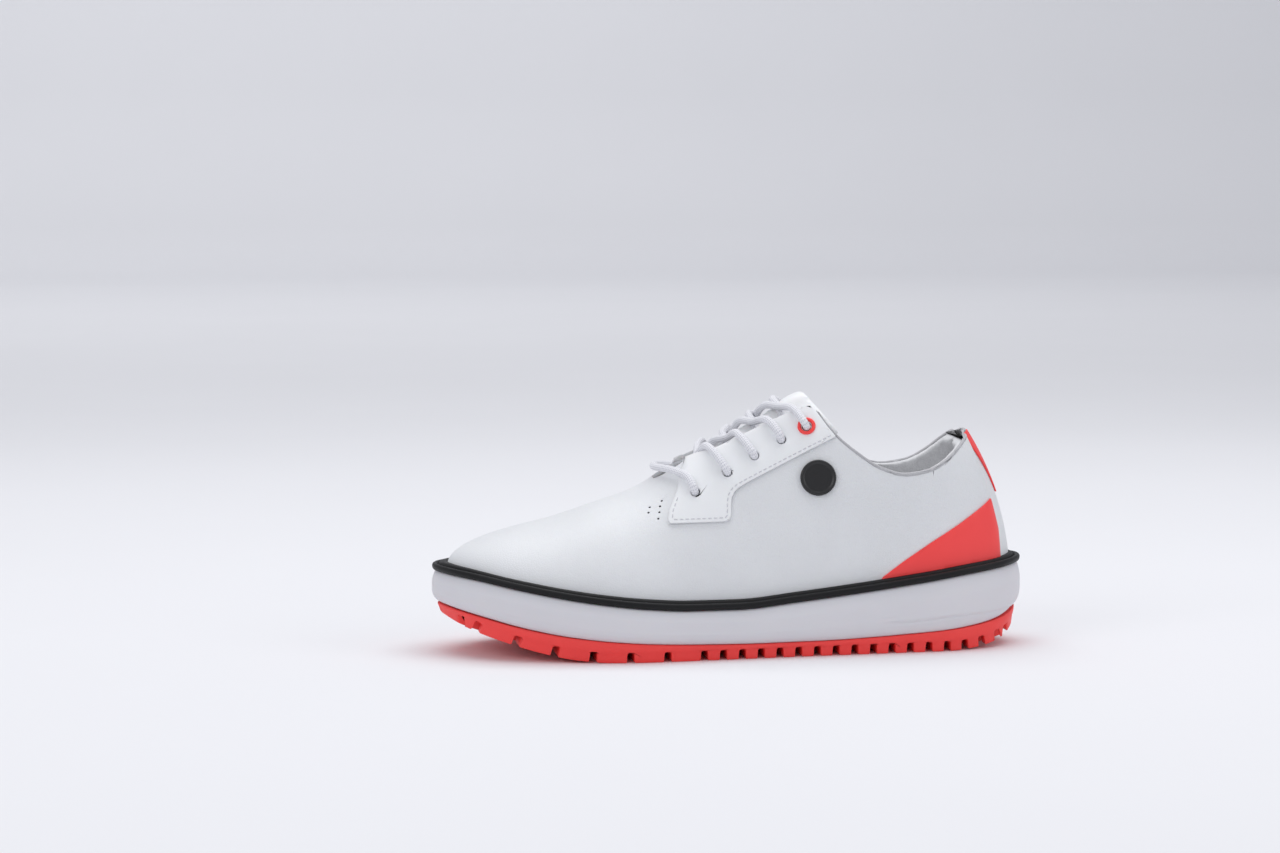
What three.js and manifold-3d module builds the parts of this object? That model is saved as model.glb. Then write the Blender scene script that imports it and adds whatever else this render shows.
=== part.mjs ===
// Left golf shoe, laced, standing on its tread.
// Millimetres, +Z up. The toe points along -X and the outer side of the foot is -Y.
// The origin is on the ground, in the middle of the shoe's length and width.
import * as THREE from "three";
import { mergeVertices } from "three/addons/utils/BufferGeometryUtils.js";
import Module from "manifold-3d";

const wasm = await Module();
wasm.setup();

// ---- Driving dimensions --------------------------------------------------------------------

const SOLE_LENGTH = 302; // toe to heel over the midsole
const SOLE_WIDTH = 108; // across the ball of the foot
const CLEARANCE = 0.3; // between pieces that touch

const UPPER_WALL = 1.6; // leather of the vamp and quarters
const LASTING_MARGIN = 11; // width of leather folded under the board
const INTERLAYER = 1.0; // heel counter, toe puff and eyelet facings, between leather and lining
const LINING_WALL = 1.2;
const COLLAR_PAD = 4.4; // foam at the collar
const COLLAR_PAD_DEPTH = 30; // how far the foam reaches down from the collar
const BINDING = 1.3; // height of the tape along the collar edge
const EYESTAY_WALL = 1.3;
const PANEL_WALL = 0.6; // coloured heel panels and heel tab

const BOARD_WALL = 2.0;
const SOCKLINER_WALL = 4.5;
const SOCKLINER_CUP = 7; // how far the rim stands up round the heel
const SOCKLINER_RIM = 4; // width of that rim
const PLATE = 2.6; // outsole between the tread and the midsole
const LUG_DEPTH = 4.8;
const RAND_OUTER_BEAD = 3.4; // height of the bead at the rim of the sole
const RAND_INNER_BEAD = 4.6; // height of the bead beside the leather

const TONGUE_FACE = 1.2;
const TONGUE_PAD = 4.2;
const TONGUE_LINING = 0.9;
const TONGUE_FRONT = -50;
// Along the tongue: x, and how far it reaches from the crown line to the outer and to the inner side.
const TONGUE_PLAN = [[TONGUE_FRONT, 14.5, 11.5], [-36, 17.5, 14.5], [-16, 24, 21], [24, 24, 21],
  [33, 21, 12.5], [66, 21, 12.5]];
const TONGUE_WING_SINK = 2.5; // how much deeper the tongue's wings lie than its crest

const LACE_DIAMETER = 3.8;
const EYELET_BORE = 5.4;
const FACING_BORE = 7.6; // the same holes in the facing and the lining
const GROMMET_DIAMETER = 9;
const GROMMET_FLANGE = 1.1;
const GROMMET_BARREL = 6.8;
const GROMMET_DEPTH = 6;
const BADGE_DIAMETER = 18;
const BADGE_HEIGHT = 2.4;
const AGLET_LENGTH = 20;

// ---- Curves along the shoe ------------------------------------------------------------------
// A station is a share of the sole's length, from 0 at the toe to 1 at the heel.

const stationX = (s) => (s - 0.5) * SOLE_LENGTH;
const stationOf = (x) => x / SOLE_LENGTH + 0.5;

// A smooth curve through [station, value] pairs that never overshoots them.
function along(pairs) {
  const s = pairs.map((p) => p[0]);
  const v = pairs.map((p) => p[1]);
  const rise = s.slice(1).map((_, i) => (v[i + 1] - v[i]) / (s[i + 1] - s[i]));
  const slope = v.map((_, i) => {
    const a = rise[Math.max(i - 1, 0)];
    const b = rise[Math.min(i, rise.length - 1)];
    return a * b > 0 ? (2 * a * b) / (a + b) : 0;
  });
  return (at) => {
    const t = Math.min(Math.max(at, s[0]), s[s.length - 1]);
    const i = Math.max(0, Math.min(s.findIndex((x) => x >= t) - 1, rise.length - 1));
    const w = s[i + 1] - s[i];
    const q = (t - s[i]) / w;
    const hermite = new THREE.Vector4(
      (1 + 2 * q) * (1 - q) ** 2,
      q * (1 - q) ** 2 * w,
      q * q * (3 - 2 * q),
      q * q * (q - 1) * w,
    );
    return hermite.dot(new THREE.Vector4(v[i], slope[i], v[i + 1], slope[i + 1]));
  };
}

// Heights above the ground.
const treadZ = along([[0, 22], [0.05, 15], [0.1, 10], [0.165, 4.6], [0.22, 1.4], [0.28, 0],
  [0.85, 0], [0.91, 1.4], [0.96, 5.5], [1, 13]]);
const midsoleBottomZ = along([[0, 25.5], [0.07, 21.4], [0.13, 17.2], [0.195, 13.6], [0.26, 11.2],
  [0.34, 9.4], [0.43, 8.3], [0.53, 7.8], [0.63, 7.9], [0.73, 8.9], [0.84, 10.8], [0.91, 13.2],
  [0.96, 16.2], [1, 20.5]]);
const midsoleTopZ = along([[0, 41], [0.055, 39.6], [0.13, 35.5], [0.195, 32], [0.26, 29.1],
  [0.34, 26.5], [0.41, 25.2], [0.49, 25.1], [0.59, 27.7], [0.7, 31.3], [0.8, 35.1],
  [0.89, 38.9], [0.97, 41.3], [1, 41.8]]);
const footZ = along([[0, 33], [0.1, 29], [0.2, 25], [0.3, 22.2], [0.43, 21.2], [0.6, 23],
  [0.73, 26.5], [0.86, 30], [1, 32]]);

// ---- The sole's outline ---------------------------------------------------------------------
// [station, outer half, inner half], the halves as shares of the sole's width.

const TOE_TIP_Y = 0.05;
const HEEL_TIP_Y = 0.01;
const OUTLINE = [[0.02, -0.125, 0.215], [0.07, -0.3, 0.36], [0.16, -0.43, 0.455],
  [0.3, -0.51, 0.49], [0.45, -0.478, 0.425], [0.61, -0.422, 0.355], [0.76, -0.38, 0.348],
  [0.88, -0.335, 0.325], [0.96, -0.22, 0.24]];
const LEDGE = along([[0, 7.5], [0.15, 6.4], [0.85, 6.2], [1, 5.4]]);

const outlinePoint = (s, share) => new THREE.Vector3(stationX(s), share * SOLE_WIDTH, 0);
const soleCurve = new THREE.CatmullRomCurve3([
  outlinePoint(0, TOE_TIP_Y),
  ...OUTLINE.map(([s, outer]) => outlinePoint(s, outer)),
  outlinePoint(1, HEEL_TIP_Y),
  ...OUTLINE.map(([s, , inner]) => outlinePoint(s, inner)).reverse(),
], true, "centripetal");

// Points go round from the toe tip by the outer side to the heel and back by the inner side.
const ROUND = 36;
const TURN = 1e-3;

function edgePoint(u, inset) {
  const p = soleCurve.getPoint(((u % 1) + 1) % 1);
  const ahead = soleCurve.getPoint((u + TURN + 1) % 1);
  const behind = soleCurve.getPoint((u - TURN + 1) % 1);
  const run = ahead.sub(behind).normalize();
  return new THREE.Vector3(p.x - run.y * inset, p.y + run.x * inset, 0);
}

const featherPoint = (u) => edgePoint(u, LEDGE(stationOf(soleCurve.getPoint(((u % 1) + 1) % 1).x)));
const ring = (place) => Array.from({ length: ROUND }, (_, i) => place(i / ROUND));

// ---- Solids ---------------------------------------------------------------------------------

// Joins rings of points, each one anticlockwise seen from above, into one closed surface.
// An open loft gets a cap at each end, made of strips that run straight across the shoe.
function loft(rings, closed = false) {
  const n = rings[0].length;
  const faces = [];
  const quad = (a, b, c, d) => faces.push(a, b, c, a, c, d);
  const levels = closed ? rings.length : rings.length - 1;
  for (let j = 0; j < levels; j++) {
    const low = j * n;
    const high = ((j + 1) % rings.length) * n;
    for (let i = 0; i < n; i++) {
      quad(low + i, low + ((i + 1) % n), high + ((i + 1) % n), high + i);
    }
  }
  if (!closed) {
    const top = (rings.length - 1) * n;
    for (let i = 0; i < n / 2; i++) {
      const [a, b, c, d] = [i, i + 1, n - i - 1, (n - i) % n];
      quad(d, c, b, a);
      quad(top + a, top + b, top + c, top + d);
    }
  }
  const points = rings.flat().flatMap((p) => [p.x, p.y, p.z]);
  const geometry = new THREE.BufferGeometry();
  geometry.setAttribute("position", new THREE.Float32BufferAttribute(points, 3));
  geometry.setIndex(faces);
  return solid(geometry);
}

function solid(geometry) {
  const bare = new THREE.BufferGeometry();
  bare.setAttribute("position", geometry.getAttribute("position"));
  bare.setIndex(geometry.index);
  const merged = mergeVertices(bare, 1e-4);
  const kept = [];
  for (let i = 0; i < merged.index.count; i += 3) {
    const [a, b, c] = [0, 1, 2].map((k) => merged.index.getX(i + k));
    if (a !== b && b !== c && c !== a) kept.push(a, b, c);
  }
  return new wasm.Manifold(new wasm.Mesh({
    numProp: 3,
    vertProperties: merged.attributes.position.array,
    triVerts: new Uint32Array(kept),
  }));
}

function geometryOf(made) {
  const mesh = made.getMesh();
  const geometry = new THREE.BufferGeometry();
  geometry.setAttribute("position", new THREE.Float32BufferAttribute(mesh.vertProperties, 3));
  geometry.setIndex(new THREE.BufferAttribute(mesh.triVerts, 1));
  geometry.computeVertexNormals();
  return geometry;
}

// The space on one side of a height curve, across the whole width.
const SPAN = 200;
function slab(lowAt, highAt, steps = 12) {
  const stations = Array.from({ length: steps + 1 }, (_, i) => -0.06 + (1.12 * i) / steps);
  const outline = [
    ...stations.map((s) => new THREE.Vector2(stationX(s), lowAt(s))),
    ...stations.reverse().map((s) => new THREE.Vector2(stationX(s), highAt(s))),
  ];
  const geometry = new THREE.ExtrudeGeometry(new THREE.Shape(outline), { depth: SPAN, bevelEnabled: false });
  geometry.rotateX(Math.PI / 2).translate(0, SPAN / 2, 0);
  return solid(geometry);
}
const SKY = 260;
const above = (lowAt, steps) => slab(lowAt, () => SKY, steps);
const below = (highAt, steps) => slab(() => -20, highAt, steps);

// A prism across the shoe, cut to an outline in side view, between two widths.
function sideCut(points, fromY, toY) {
  const shape = new THREE.Shape(points);
  const geometry = new THREE.ExtrudeGeometry(shape, { depth: toY - fromY, bevelEnabled: false });
  geometry.rotateX(Math.PI / 2).translate(0, toY, 0);
  return solid(geometry);
}

// ---- The last: the form that the upper is pulled over ----------------------------------------

const CROWN_FRONT = -100; // where the toe's slope meets the crown line
const CROWN_BACK = 92;
const crownZ = along([[0.16, 63.5], [0.215, 67.8], [0.28, 74.5], [0.33, 79.8], [0.37, 86.5],
  [0.43, 103], [0.5, 119.5], [0.56, 130], [0.6, 134.5], [0.66, 138], [0.82, 141]]);
const crownY = along([[0.15, 8], [0.4, 4.5], [0.6, 3], [0.85, 1]]);
// How square the arch is: its width's exponent, then its height's.
const widthPower = along([[0.02, 3], [0.09, 2.4], [0.17, 2.1], [0.3, 1.9], [0.37, 1.8],
  [0.43, 1.72], [0.5, 1.72], [0.56, 1.8], [0.62, 2], [0.67, 2.3], [0.78, 2.8], [0.87, 2.6],
  [0.93, 1.8], [0.965, 1.2]]);
const heightPower = along([[0.02, 4.6], [0.09, 3], [0.17, 2.3], [0.3, 1.9], [0.37, 1.8],
  [0.43, 1.72], [0.5, 1.72], [0.56, 1.8], [0.62, 2], [0.67, 2.3], [0.78, 2.8], [0.87, 2.6],
  [0.93, 2.2], [0.965, 1.8]]);
const BULGE = 1.6; // how far the wall stands out beyond the feather line

function lastPoint(u, angle) {
  const base = featherPoint(u);
  const pairX = (base.x + featherPoint(1 - u).x) / 2;
  const toe = featherPoint(0).x;
  const heel = featherPoint(0.5).x;
  const topX = CROWN_FRONT + ((pairX - toe) / (heel - toe)) * (CROWN_BACK - CROWN_FRONT);
  const s = stationOf(base.x);
  const topS = stationOf(topX);
  const climb = (crownZ(topS + TURN) - crownZ(topS - TURN)) / (2 * TURN * SOLE_LENGTH);
  const tilt = climb * (topX - base.x);
  const in_ = 1 - Math.cos(angle) ** (2 / widthPower(s));
  const up = Math.sin(angle) ** (2 / heightPower(s));
  const bottom = footZ(s);
  const out = BULGE * Math.sin(2 * angle);
  const way = new THREE.Vector2(base.x - topX, base.y - crownY(topS)).normalize();
  return new THREE.Vector3(
    base.x + (topX - base.x) * in_ + way.x * out,
    base.y + (crownY(topS) - base.y) * in_ + way.y * out,
    bottom + (crownZ(topS) - bottom - tilt) * up + tilt * in_,
  );
}

const RIDGE = Math.PI / 2;
function lastNormal(u, angle) {
  if (angle >= RIDGE) {
    const at = THREE.MathUtils.clamp(Math.min(u, 1 - u), 2 * TURN, 0.5 - 2 * TURN);
    const ahead = lastPoint(at + TURN, RIDGE).sub(lastPoint(at - TURN, RIDGE));
    return new THREE.Vector3(-ahead.z, 0, ahead.x).normalize();
  }
  const low = Math.max(angle - TURN, 0.02);
  const round = lastPoint(u + TURN, angle).sub(lastPoint(u - TURN, angle));
  const rise = lastPoint(u, low + 2 * TURN).sub(lastPoint(u, low));
  return round.cross(rise).normalize();
}

const RING_DEGREES = [0, 11, 23, 35, 47, 59, 72, 90];
const SKIRT = 8; // how far a form runs on below the foot, before it is cut off

// The last grown or shrunk by a distance, which may differ from place to place, then shifted.
function form(growth, shift = new THREE.Vector3()) {
  const grow = typeof growth === "function" ? growth : () => growth;
  const levels = RING_DEGREES.map((d) => ring((u) => {
    const angle = (d * Math.PI) / 180;
    const p = lastPoint(u, angle);
    return p.add(lastNormal(u, angle).multiplyScalar(grow(p))).add(shift);
  }));
  const skirt = levels[0].map((p) => new THREE.Vector3(p.x, p.y, p.z - SKIRT));
  return loft([skirt, ...levels]);
}

// The sole is wider on its outer side, so every piece moves over to bring its middle to the origin.
const MIDDLE_Y = 0.008 * SOLE_WIDTH;

const group = new THREE.Group();
function add(name, made, colour, roughness = 0.6) {
  const material = new THREE.MeshStandardMaterial({ color: colour, roughness });
  const mesh = new THREE.Mesh(geometryOf(made).translate(0, MIDDLE_Y, 0), material);
  mesh.name = name;
  group.add(mesh);
}

// ---- Heights that the pieces share ------------------------------------------------------------

const boardZ = (s) => footZ(s) + UPPER_WALL + CLEARANCE;
const boardTopZ = (s) => boardZ(s) + BOARD_WALL;
const bedZ = (s) => boardTopZ(s) + CLEARANCE;
const bedTopZ = (s) => bedZ(s) + SOCKLINER_WALL;
const raised = (at, by) => (s) => at(s) + by;
const plateZ = (s) => Math.min(treadZ(s) + LUG_DEPTH, midsoleBottomZ(s) - PLATE);
const randTopZ = raised(midsoleTopZ, RAND_INNER_BEAD + 3 * CLEARANCE);

// The collar line in side view: down behind the eyestays, under the ankle, up to the heel.
const collarZ = along([[0.55, 150], [0.61, 131], [0.662, 109], [0.699, 99.5], [0.735, 92.4],
  [0.778, 88.8], [0.82, 90.6], [0.851, 95.4], [0.882, 103.4], [0.902, 108.6], [0.95, 113]]);

// Layers inside the leather, as distances from its outer face.
const INNER_FACE = UPPER_WALL + CLEARANCE;
const smooth = (t) => THREE.MathUtils.smoothstep(t, 0, 1);
const PAD_FRONT = 0.67;
const PAD_FULL = 0.72;

function layer(p) {
  const s = stationOf(p.x);
  const behind = smooth((s - PAD_FRONT) / (PAD_FULL - PAD_FRONT));
  const high = smooth(1 - (collarZ(s) - p.z) / COLLAR_PAD_DEPTH);
  return INTERLAYER + (COLLAR_PAD - INTERLAYER) * behind * high;
}
const liningOuter = (p) => -(INNER_FACE + layer(p) + CLEARANCE);
const liningInner = (p) => liningOuter(p) - LINING_WALL;

// A straight-sided block inside the sole's outline.
function block(insetAt, low, high) {
  const level = (z) => ring((u) => edgePoint(u, insetAt(u)).setZ(z));
  return loft([level(low), level(high)]);
}
const featherInset = (u) => LEDGE(stationOf(soleCurve.getPoint(u).x));

const lastForm = form(0);
const leatherInside = form(-UPPER_WALL);
const interFront = form(-INNER_FACE);
const interBack = form((p) => -(INNER_FACE + layer(p)));
const liningFront = form(liningOuter);
const liningBack = form(liningInner);
const overLeather = form(CLEARANCE);

// ---- Throat and collar openings ---------------------------------------------------------------

const THROAT_FRONT = -39;
const THROAT_BACK = 78;
// Half the throat's width on each side of the crown line.
const THROAT_LATERAL = along([[0.37, 5], [0.385, 9.5], [0.43, 15.5], [0.47, 20.5], [0.53, 21.5],
  [0.6, 22.6], [0.66, 26], [0.76, 31]]);
const THROAT_MEDIAL = along([[0.37, 4], [0.385, 8.5], [0.43, 15], [0.47, 16.8], [0.53, 17],
  [0.6, 17.5], [0.66, 19.5], [0.76, 24]]);

const THROAT_STEPS = 8;
const throatShare = Array.from({ length: THROAT_STEPS + 1 }, (_, i) => (i / THROAT_STEPS) ** 1.6);
const throatXs = throatShare.map((share) => THROAT_FRONT + (THROAT_BACK - THROAT_FRONT) * share);
const throatEdge = (halfAt, sign) => throatXs.map((x) => {
  const s = stationOf(x);
  return new THREE.Vector2(x, crownY(s) + sign * halfAt(s));
});
const throatShape = new THREE.Shape([
  ...throatEdge(THROAT_LATERAL, -1),
  ...throatEdge(THROAT_MEDIAL, 1).reverse(),
]);
const throat = solid(new THREE.ExtrudeGeometry(throatShape, { depth: SKY, bevelEnabled: false })
  .translate(0, 0, bedZ(0.5) + LACE_DIAMETER));
const COLLAR_STEPS = 26;
const underCollar = below(collarZ, COLLAR_STEPS);

// ---- Eyelets -----------------------------------------------------------------------------------
// Five centres on each side, from the toe end up, by station and height.

const EYELETS = [[0.428, 81.1], [0.482, 90.7], [0.528, 98.9], [0.574, 106.8], [0.616, 113.3]];

// The spot on one side of the last at a given place in side view, and the way it faces.
function onLast(x, z, sign) {
  let us = sign < 0 ? [0.005, 0.495] : [0.505, 0.995];
  let angles = [0.1, RIDGE - 0.01];
  let best;
  for (let pass = 0; pass < 8; pass++) {
    best = { miss: Infinity };
    for (let i = 0; i <= 12; i++) {
      for (let j = 0; j <= 12; j++) {
        const u = us[0] + ((us[1] - us[0]) * i) / 12;
        const angle = angles[0] + ((angles[1] - angles[0]) * j) / 12;
        const point = lastPoint(u, angle);
        const miss = Math.hypot(point.x - x, point.z - z);
        if (miss < best.miss) best = { miss, u, angle, point };
      }
    }
    const du = (us[1] - us[0]) / 6;
    const da = (angles[1] - angles[0]) / 6;
    us = [best.u - du, best.u + du];
    angles = [Math.max(best.angle - da, 0.02), Math.min(best.angle + da, RIDGE - 0.01)];
  }
  return { point: best.point, normal: lastNormal(best.u, best.angle) };
}

// Turns a piece made along +Y, with its foot at the origin, to stand on the last's surface.
function stand(geometry, spot, height = 0) {
  const turn = new THREE.Quaternion().setFromUnitVectors(new THREE.Vector3(0, 1, 0), spot.normal);
  const place = spot.point.clone().addScaledVector(spot.normal, height);
  return geometry.applyQuaternion(turn).translate(place.x, place.y, place.z);
}
const BORE_SIDES = 8;
const pin = (diameter, length) => new THREE.CylinderGeometry(diameter / 2, diameter / 2, length, BORE_SIDES);

const sides = { lateral: -1, medial: 1 };
const eyeletSpots = Object.fromEntries(Object.entries(sides).map(([side, sign]) => [
  side,
  EYELETS.map(([s, z]) => onLast(stationX(s), z, sign)),
]));
const THROUGH = 30;
function drilled(made, side, bore) {
  const cuts = eyeletSpots[side].map((spot, i) => {
    const top = i === EYELETS.length - 1;
    const wide = top ? Math.max(bore, GROMMET_BARREL + 2 * CLEARANCE) : bore;
    return solid(stand(pin(wide, THROUGH), spot));
  });
  return cuts.reduce((left, cut) => left.subtract(cut), made);
}

// ---- Sole ----------------------------------------------------------------------------------------

const MIDSOLE_SECTION = [[0, 3.4], [0.12, 1.2], [0.34, 0], [0.62, 0], [0.88, 1], [1, 1.9]];
const midsoleRings = MIDSOLE_SECTION.map(([share, inset]) => ring((u) => {
  const p = edgePoint(u, inset);
  const s = stationOf(p.x);
  return p.setZ(midsoleBottomZ(s) + (midsoleTopZ(s) - midsoleBottomZ(s)) * share);
}));
const seat = form(CLEARANCE).intersect(above(raised(footZ, -CLEARANCE)));
add("midsole", loft(midsoleRings).subtract(seat), 0xe9e8ee, 0.7);

const TREAD_INSET = 3.4;
const plate = loft([plateZ, raised(midsoleBottomZ, -CLEARANCE)].map((at, top) => ring((u) => {
  const p = edgePoint(u, TREAD_INSET - 0.6 * top);
  return p.setZ(at(stationOf(p.x)));
})));
const tread = loft([treadZ, raised(plateZ, 1)].map((at, top) => ring((u) => {
  const p = edgePoint(u, TREAD_INSET + 0.8 - 0.5 * top);
  return p.setZ(at(stationOf(p.x)));
})));

// Grooves across the tread leave wide lugs under the forefoot and narrow ones behind.
const FOREFOOT_PITCH = 18.6;
const HEEL_PITCH = 9.7;
const FOREFOOT_END = -22;
const TREAD_FRONT = -132;
const TREAD_END = 143;
const GROOVE = 3.4;
const GROOVE_TAPER = 0.5;
const GROOVE_OVERCUT = 1.4; // how far a groove runs on into the plate

function crossGroove(x, fromY, toY) {
  const s = stationOf(x);
  const slope = Math.atan((treadZ(s + 0.01) - treadZ(s - 0.01)) / (0.02 * SOLE_LENGTH));
  const half = GROOVE / 2;
  const foot = half + GROOVE_TAPER;
  const roof = LUG_DEPTH + GROOVE_OVERCUT;
  const corners = [[-foot, -LUG_DEPTH], [foot, -LUG_DEPTH], [half, roof], [-half, roof]];
  const shape = corners.map(([a, b]) => new THREE.Vector2(a, b).rotateAround(new THREE.Vector2(), slope)
    .add(new THREE.Vector2(x, treadZ(s))));
  return sideCut(shape, fromY, toY);
}
// Three channels run along the tread.
const CHANNEL = 4;
const CHANNEL_SHARES = [-0.23, -0.03, 0.17];
const HEEL_NARROWING = 0.28; // how much closer together the channels run under the heel
const CHANNEL_STEPS = 10;
function channelY(share, x) {
  const narrowing = 1 - HEEL_NARROWING * smooth(x / (0.3 * SOLE_LENGTH));
  return share * SOLE_WIDTH * narrowing + crownY(stationOf(x));
}
function channel(share) {
  const places = Array.from({ length: CHANNEL_STEPS + 1 }, (_, i) => i / CHANNEL_STEPS);
  const xs = places.map((place) => 1.06 * SOLE_LENGTH * (place - 0.5));
  const shape = new THREE.Shape([
    ...xs.map((x) => new THREE.Vector2(x, channelY(share, x) - CHANNEL / 2)),
    ...xs.reverse().map((x) => new THREE.Vector2(x, channelY(share, x) + CHANNEL / 2)),
  ]);
  const cut = new THREE.ExtrudeGeometry(shape, { depth: SPAN, bevelEnabled: false });
  const open = solid(cut.translate(0, 0, -SPAN / 2));
  return open.intersect(below(plateZ));
}
let lugs = tread;
for (const share of CHANNEL_SHARES) lugs = lugs.subtract(channel(share));
// The two inner rows of lugs stand half a pitch behind the outer ones.
const [OUTER_CHANNEL, , INNER_CHANNEL] = CHANNEL_SHARES;
for (let x = TREAD_FRONT, pitch; x < TREAD_END; x += pitch) {
  pitch = x < FOREFOOT_END ? FOREFOOT_PITCH : HEEL_PITCH;
  const behind = x + pitch / 2;
  lugs = lugs.subtract(crossGroove(x, -SPAN / 2, channelY(OUTER_CHANNEL, x)));
  lugs = lugs.subtract(crossGroove(x, channelY(INNER_CHANNEL, x), SPAN / 2));
  const inner = crossGroove(behind, channelY(OUTER_CHANNEL, behind), channelY(INNER_CHANNEL, behind));
  if (behind < TREAD_END) lugs = lugs.subtract(inner);
}
add("outsole", plate.add(lugs.intersect(above(raised(treadZ, -1)))), 0xff5450, 0.55);

// The rubber rand: a bead at the rim, a groove, and a taller bead beside the leather.
const RAND_REACH = 12; // the ring runs this far in before the leather cuts it off
const randSection = [
  [0.9, 0], [0.3, 0.8], [0.3, RAND_OUTER_BEAD - 1], [1, RAND_OUTER_BEAD], [2.2, RAND_OUTER_BEAD],
  [3.1, RAND_OUTER_BEAD - 0.9], [4.2, RAND_INNER_BEAD],
  [RAND_REACH, RAND_INNER_BEAD], [RAND_REACH, 0],
];
const randRings = randSection.map(([inset, up]) => ring((u) => {
  const p = edgePoint(u, inset);
  return p.setZ(midsoleTopZ(stationOf(p.x)) + CLEARANCE + up);
}));
add("rand", loft(randRings, true).subtract(overLeather), 0x141416, 0.45);

// ---- Footbed ---------------------------------------------------------------------------------------

const insole = (low, high) => above(low).intersect(below(high));
add("lasting_board", form(-(UPPER_WALL + CLEARANCE)).intersect(insole(boardZ, boardTopZ)), 0xcdbf9f, 0.9);

const cupHeight = along([[0, 0], [0.4, 0.5], [0.7, 0.8], [0.85, 1], [1, 1]]);
const RIM_INSET = INNER_FACE + INTERLAYER + LINING_WALL + 2 * CLEARANCE + SOCKLINER_RIM;
const dishInset = (u) => featherInset(u) + RIM_INSET;
const dish = block(dishInset, 0, SKY).intersect(above(bedTopZ));
const bedLimit = form((p) => liningInner(p) - CLEARANCE);
const bedBody = bedLimit.intersect(insole(bedZ, (s) => bedTopZ(s) + SOCKLINER_CUP * cupHeight(s)));
add("sockliner", bedBody.subtract(dish), 0xd9dadd, 0.95);

// ---- Upper -----------------------------------------------------------------------------------------

const marginHole = block((u) => featherInset(u) + UPPER_WALL + LASTING_MARGIN, 0, 60);
let leather = lastForm.intersect(above(footZ))
  .subtract(leatherInside.intersect(above(raised(footZ, UPPER_WALL))))
  .subtract(marginHole)
  .intersect(underCollar)
  .subtract(throat);
for (const side of Object.keys(sides)) leather = drilled(leather, side, EYELET_BORE);
add("upper", leather, 0xf3f3f5, 0.5);

const boardEdge = above(bedZ);
let lining = liningFront.subtract(liningBack).intersect(boardEdge).intersect(underCollar).subtract(throat);
for (const side of Object.keys(sides)) lining = drilled(lining, side, FACING_BORE);
add("lining", lining, 0xd7d8dc, 0.95);

const interlayer = interFront.subtract(interBack).intersect(boardEdge);
const PUFF_END = -96;
const COUNTER_FRONT = 62;
const NEAR = 400;
const box = (x0, x1, y0, y1) => solid(new THREE.BoxGeometry(x1 - x0, y1 - y0, NEAR)
  .translate((x0 + x1) / 2, (y0 + y1) / 2, 0));
add("toe_puff", interlayer.intersect(box(-NEAR, PUFF_END, -SPAN, SPAN)), 0xe8e2d2, 0.9);
add("heel_counter", interlayer.intersect(box(COUNTER_FRONT, NEAR, -SPAN, SPAN))
  .intersect(below(raised(collarZ, -COLLAR_PAD_DEPTH - CLEARANCE), COLLAR_STEPS)), 0xe8e2d2, 0.9);
add("collar_padding", interlayer.intersect(above(raised(collarZ, -COLLAR_PAD_DEPTH), COLLAR_STEPS))
  .intersect(underCollar).intersect(box(stationX(PAD_FRONT), NEAR, -SPAN, SPAN)), 0xf0ecd8, 0.95);
add("collar_binding", lastForm.subtract(liningBack).subtract(throat)
  .intersect(above(raised(collarZ, CLEARANCE), COLLAR_STEPS))
  .intersect(below(raised(collarZ, CLEARANCE + BINDING), COLLAR_STEPS)), 0xb9bac0, 0.9);

// ---- Eyestays --------------------------------------------------------------------------------------

const EYESTAY_OUTLINE = [[-36.6, 67.2], [-7.6, 68], [-5.4, 70.5], [-4.9, 78], [-1.5, 83], [4, 86.8],
  [60, 114.5], [60, 160], [-24, 160], [-24, 100], [-31, 81.5], [-35.5, 73]];
const eyestaySkin = form(CLEARANCE + EYESTAY_WALL).subtract(overLeather)
  .intersect(underCollar).subtract(throat);
const SEAM = 2; // the facing stops this far inside the eyestay's edge
function eyestayCut(inset, sign) {
  const shape = EYESTAY_OUTLINE.map(([x, z], i) => new THREE.Vector2(x, z + (i < 7 ? inset : 0)));
  return sideCut(shape, sign < 0 ? -SPAN : 0, sign < 0 ? 0 : SPAN);
}
for (const [side, sign] of Object.entries(sides)) {
  const stay = eyestaySkin.intersect(eyestayCut(0, sign));
  add(`eyestay_${side}`, drilled(stay, side, EYELET_BORE), 0xfbfbfd, 0.45);
  const facing = interlayer.intersect(underCollar).subtract(throat).intersect(eyestayCut(SEAM, sign))
    .intersect(box(-NEAR, stationX(PAD_FRONT) - CLEARANCE, -SPAN, SPAN));
  add(`eyelet_facing_${side}`, drilled(facing, side, FACING_BORE), 0xe4e0d4, 0.9);
}

// ---- Heel panels and tab -----------------------------------------------------------------------------

const panelSkin = form(CLEARANCE + PANEL_WALL).subtract(overLeather).intersect(above(randTopZ));
const PANEL_OUTLINE = [[66, 30], [136.3, 30], [136.3, 45], [131.2, 75.5], [113, 65], [97, 55.6],
  [82, 45.6]];
const panelShape = PANEL_OUTLINE.map(([x, z]) => new THREE.Vector2(x, z));
add("heel_panel_lateral", panelSkin.intersect(sideCut(panelShape, -SPAN, 0)), 0xff5450, 0.5);
add("heel_panel_medial", panelSkin.intersect(sideCut(panelShape, 0, SPAN)), 0xff5450, 0.5);

const TAB_OUTLINE = [[-3.5, 76], [3.5, 76], [11, 118], [-11, 118]];
const tabShape = new THREE.Shape(
  TAB_OUTLINE.map(([y, z]) => new THREE.Vector2(y + HEEL_TIP_Y * SOLE_WIDTH, z)),
);
const tabCut = solid(new THREE.ExtrudeGeometry(tabShape, { depth: 80, bevelEnabled: false })
  .applyMatrix4(new THREE.Matrix4().makeBasis(
    new THREE.Vector3(0, 1, 0), new THREE.Vector3(0, 0, 1), new THREE.Vector3(1, 0, 0)))
  .translate(100, 0, 0));
add("heel_tab", panelSkin.intersect(tabCut).intersect(underCollar), 0xff5450, 0.5);

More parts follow.
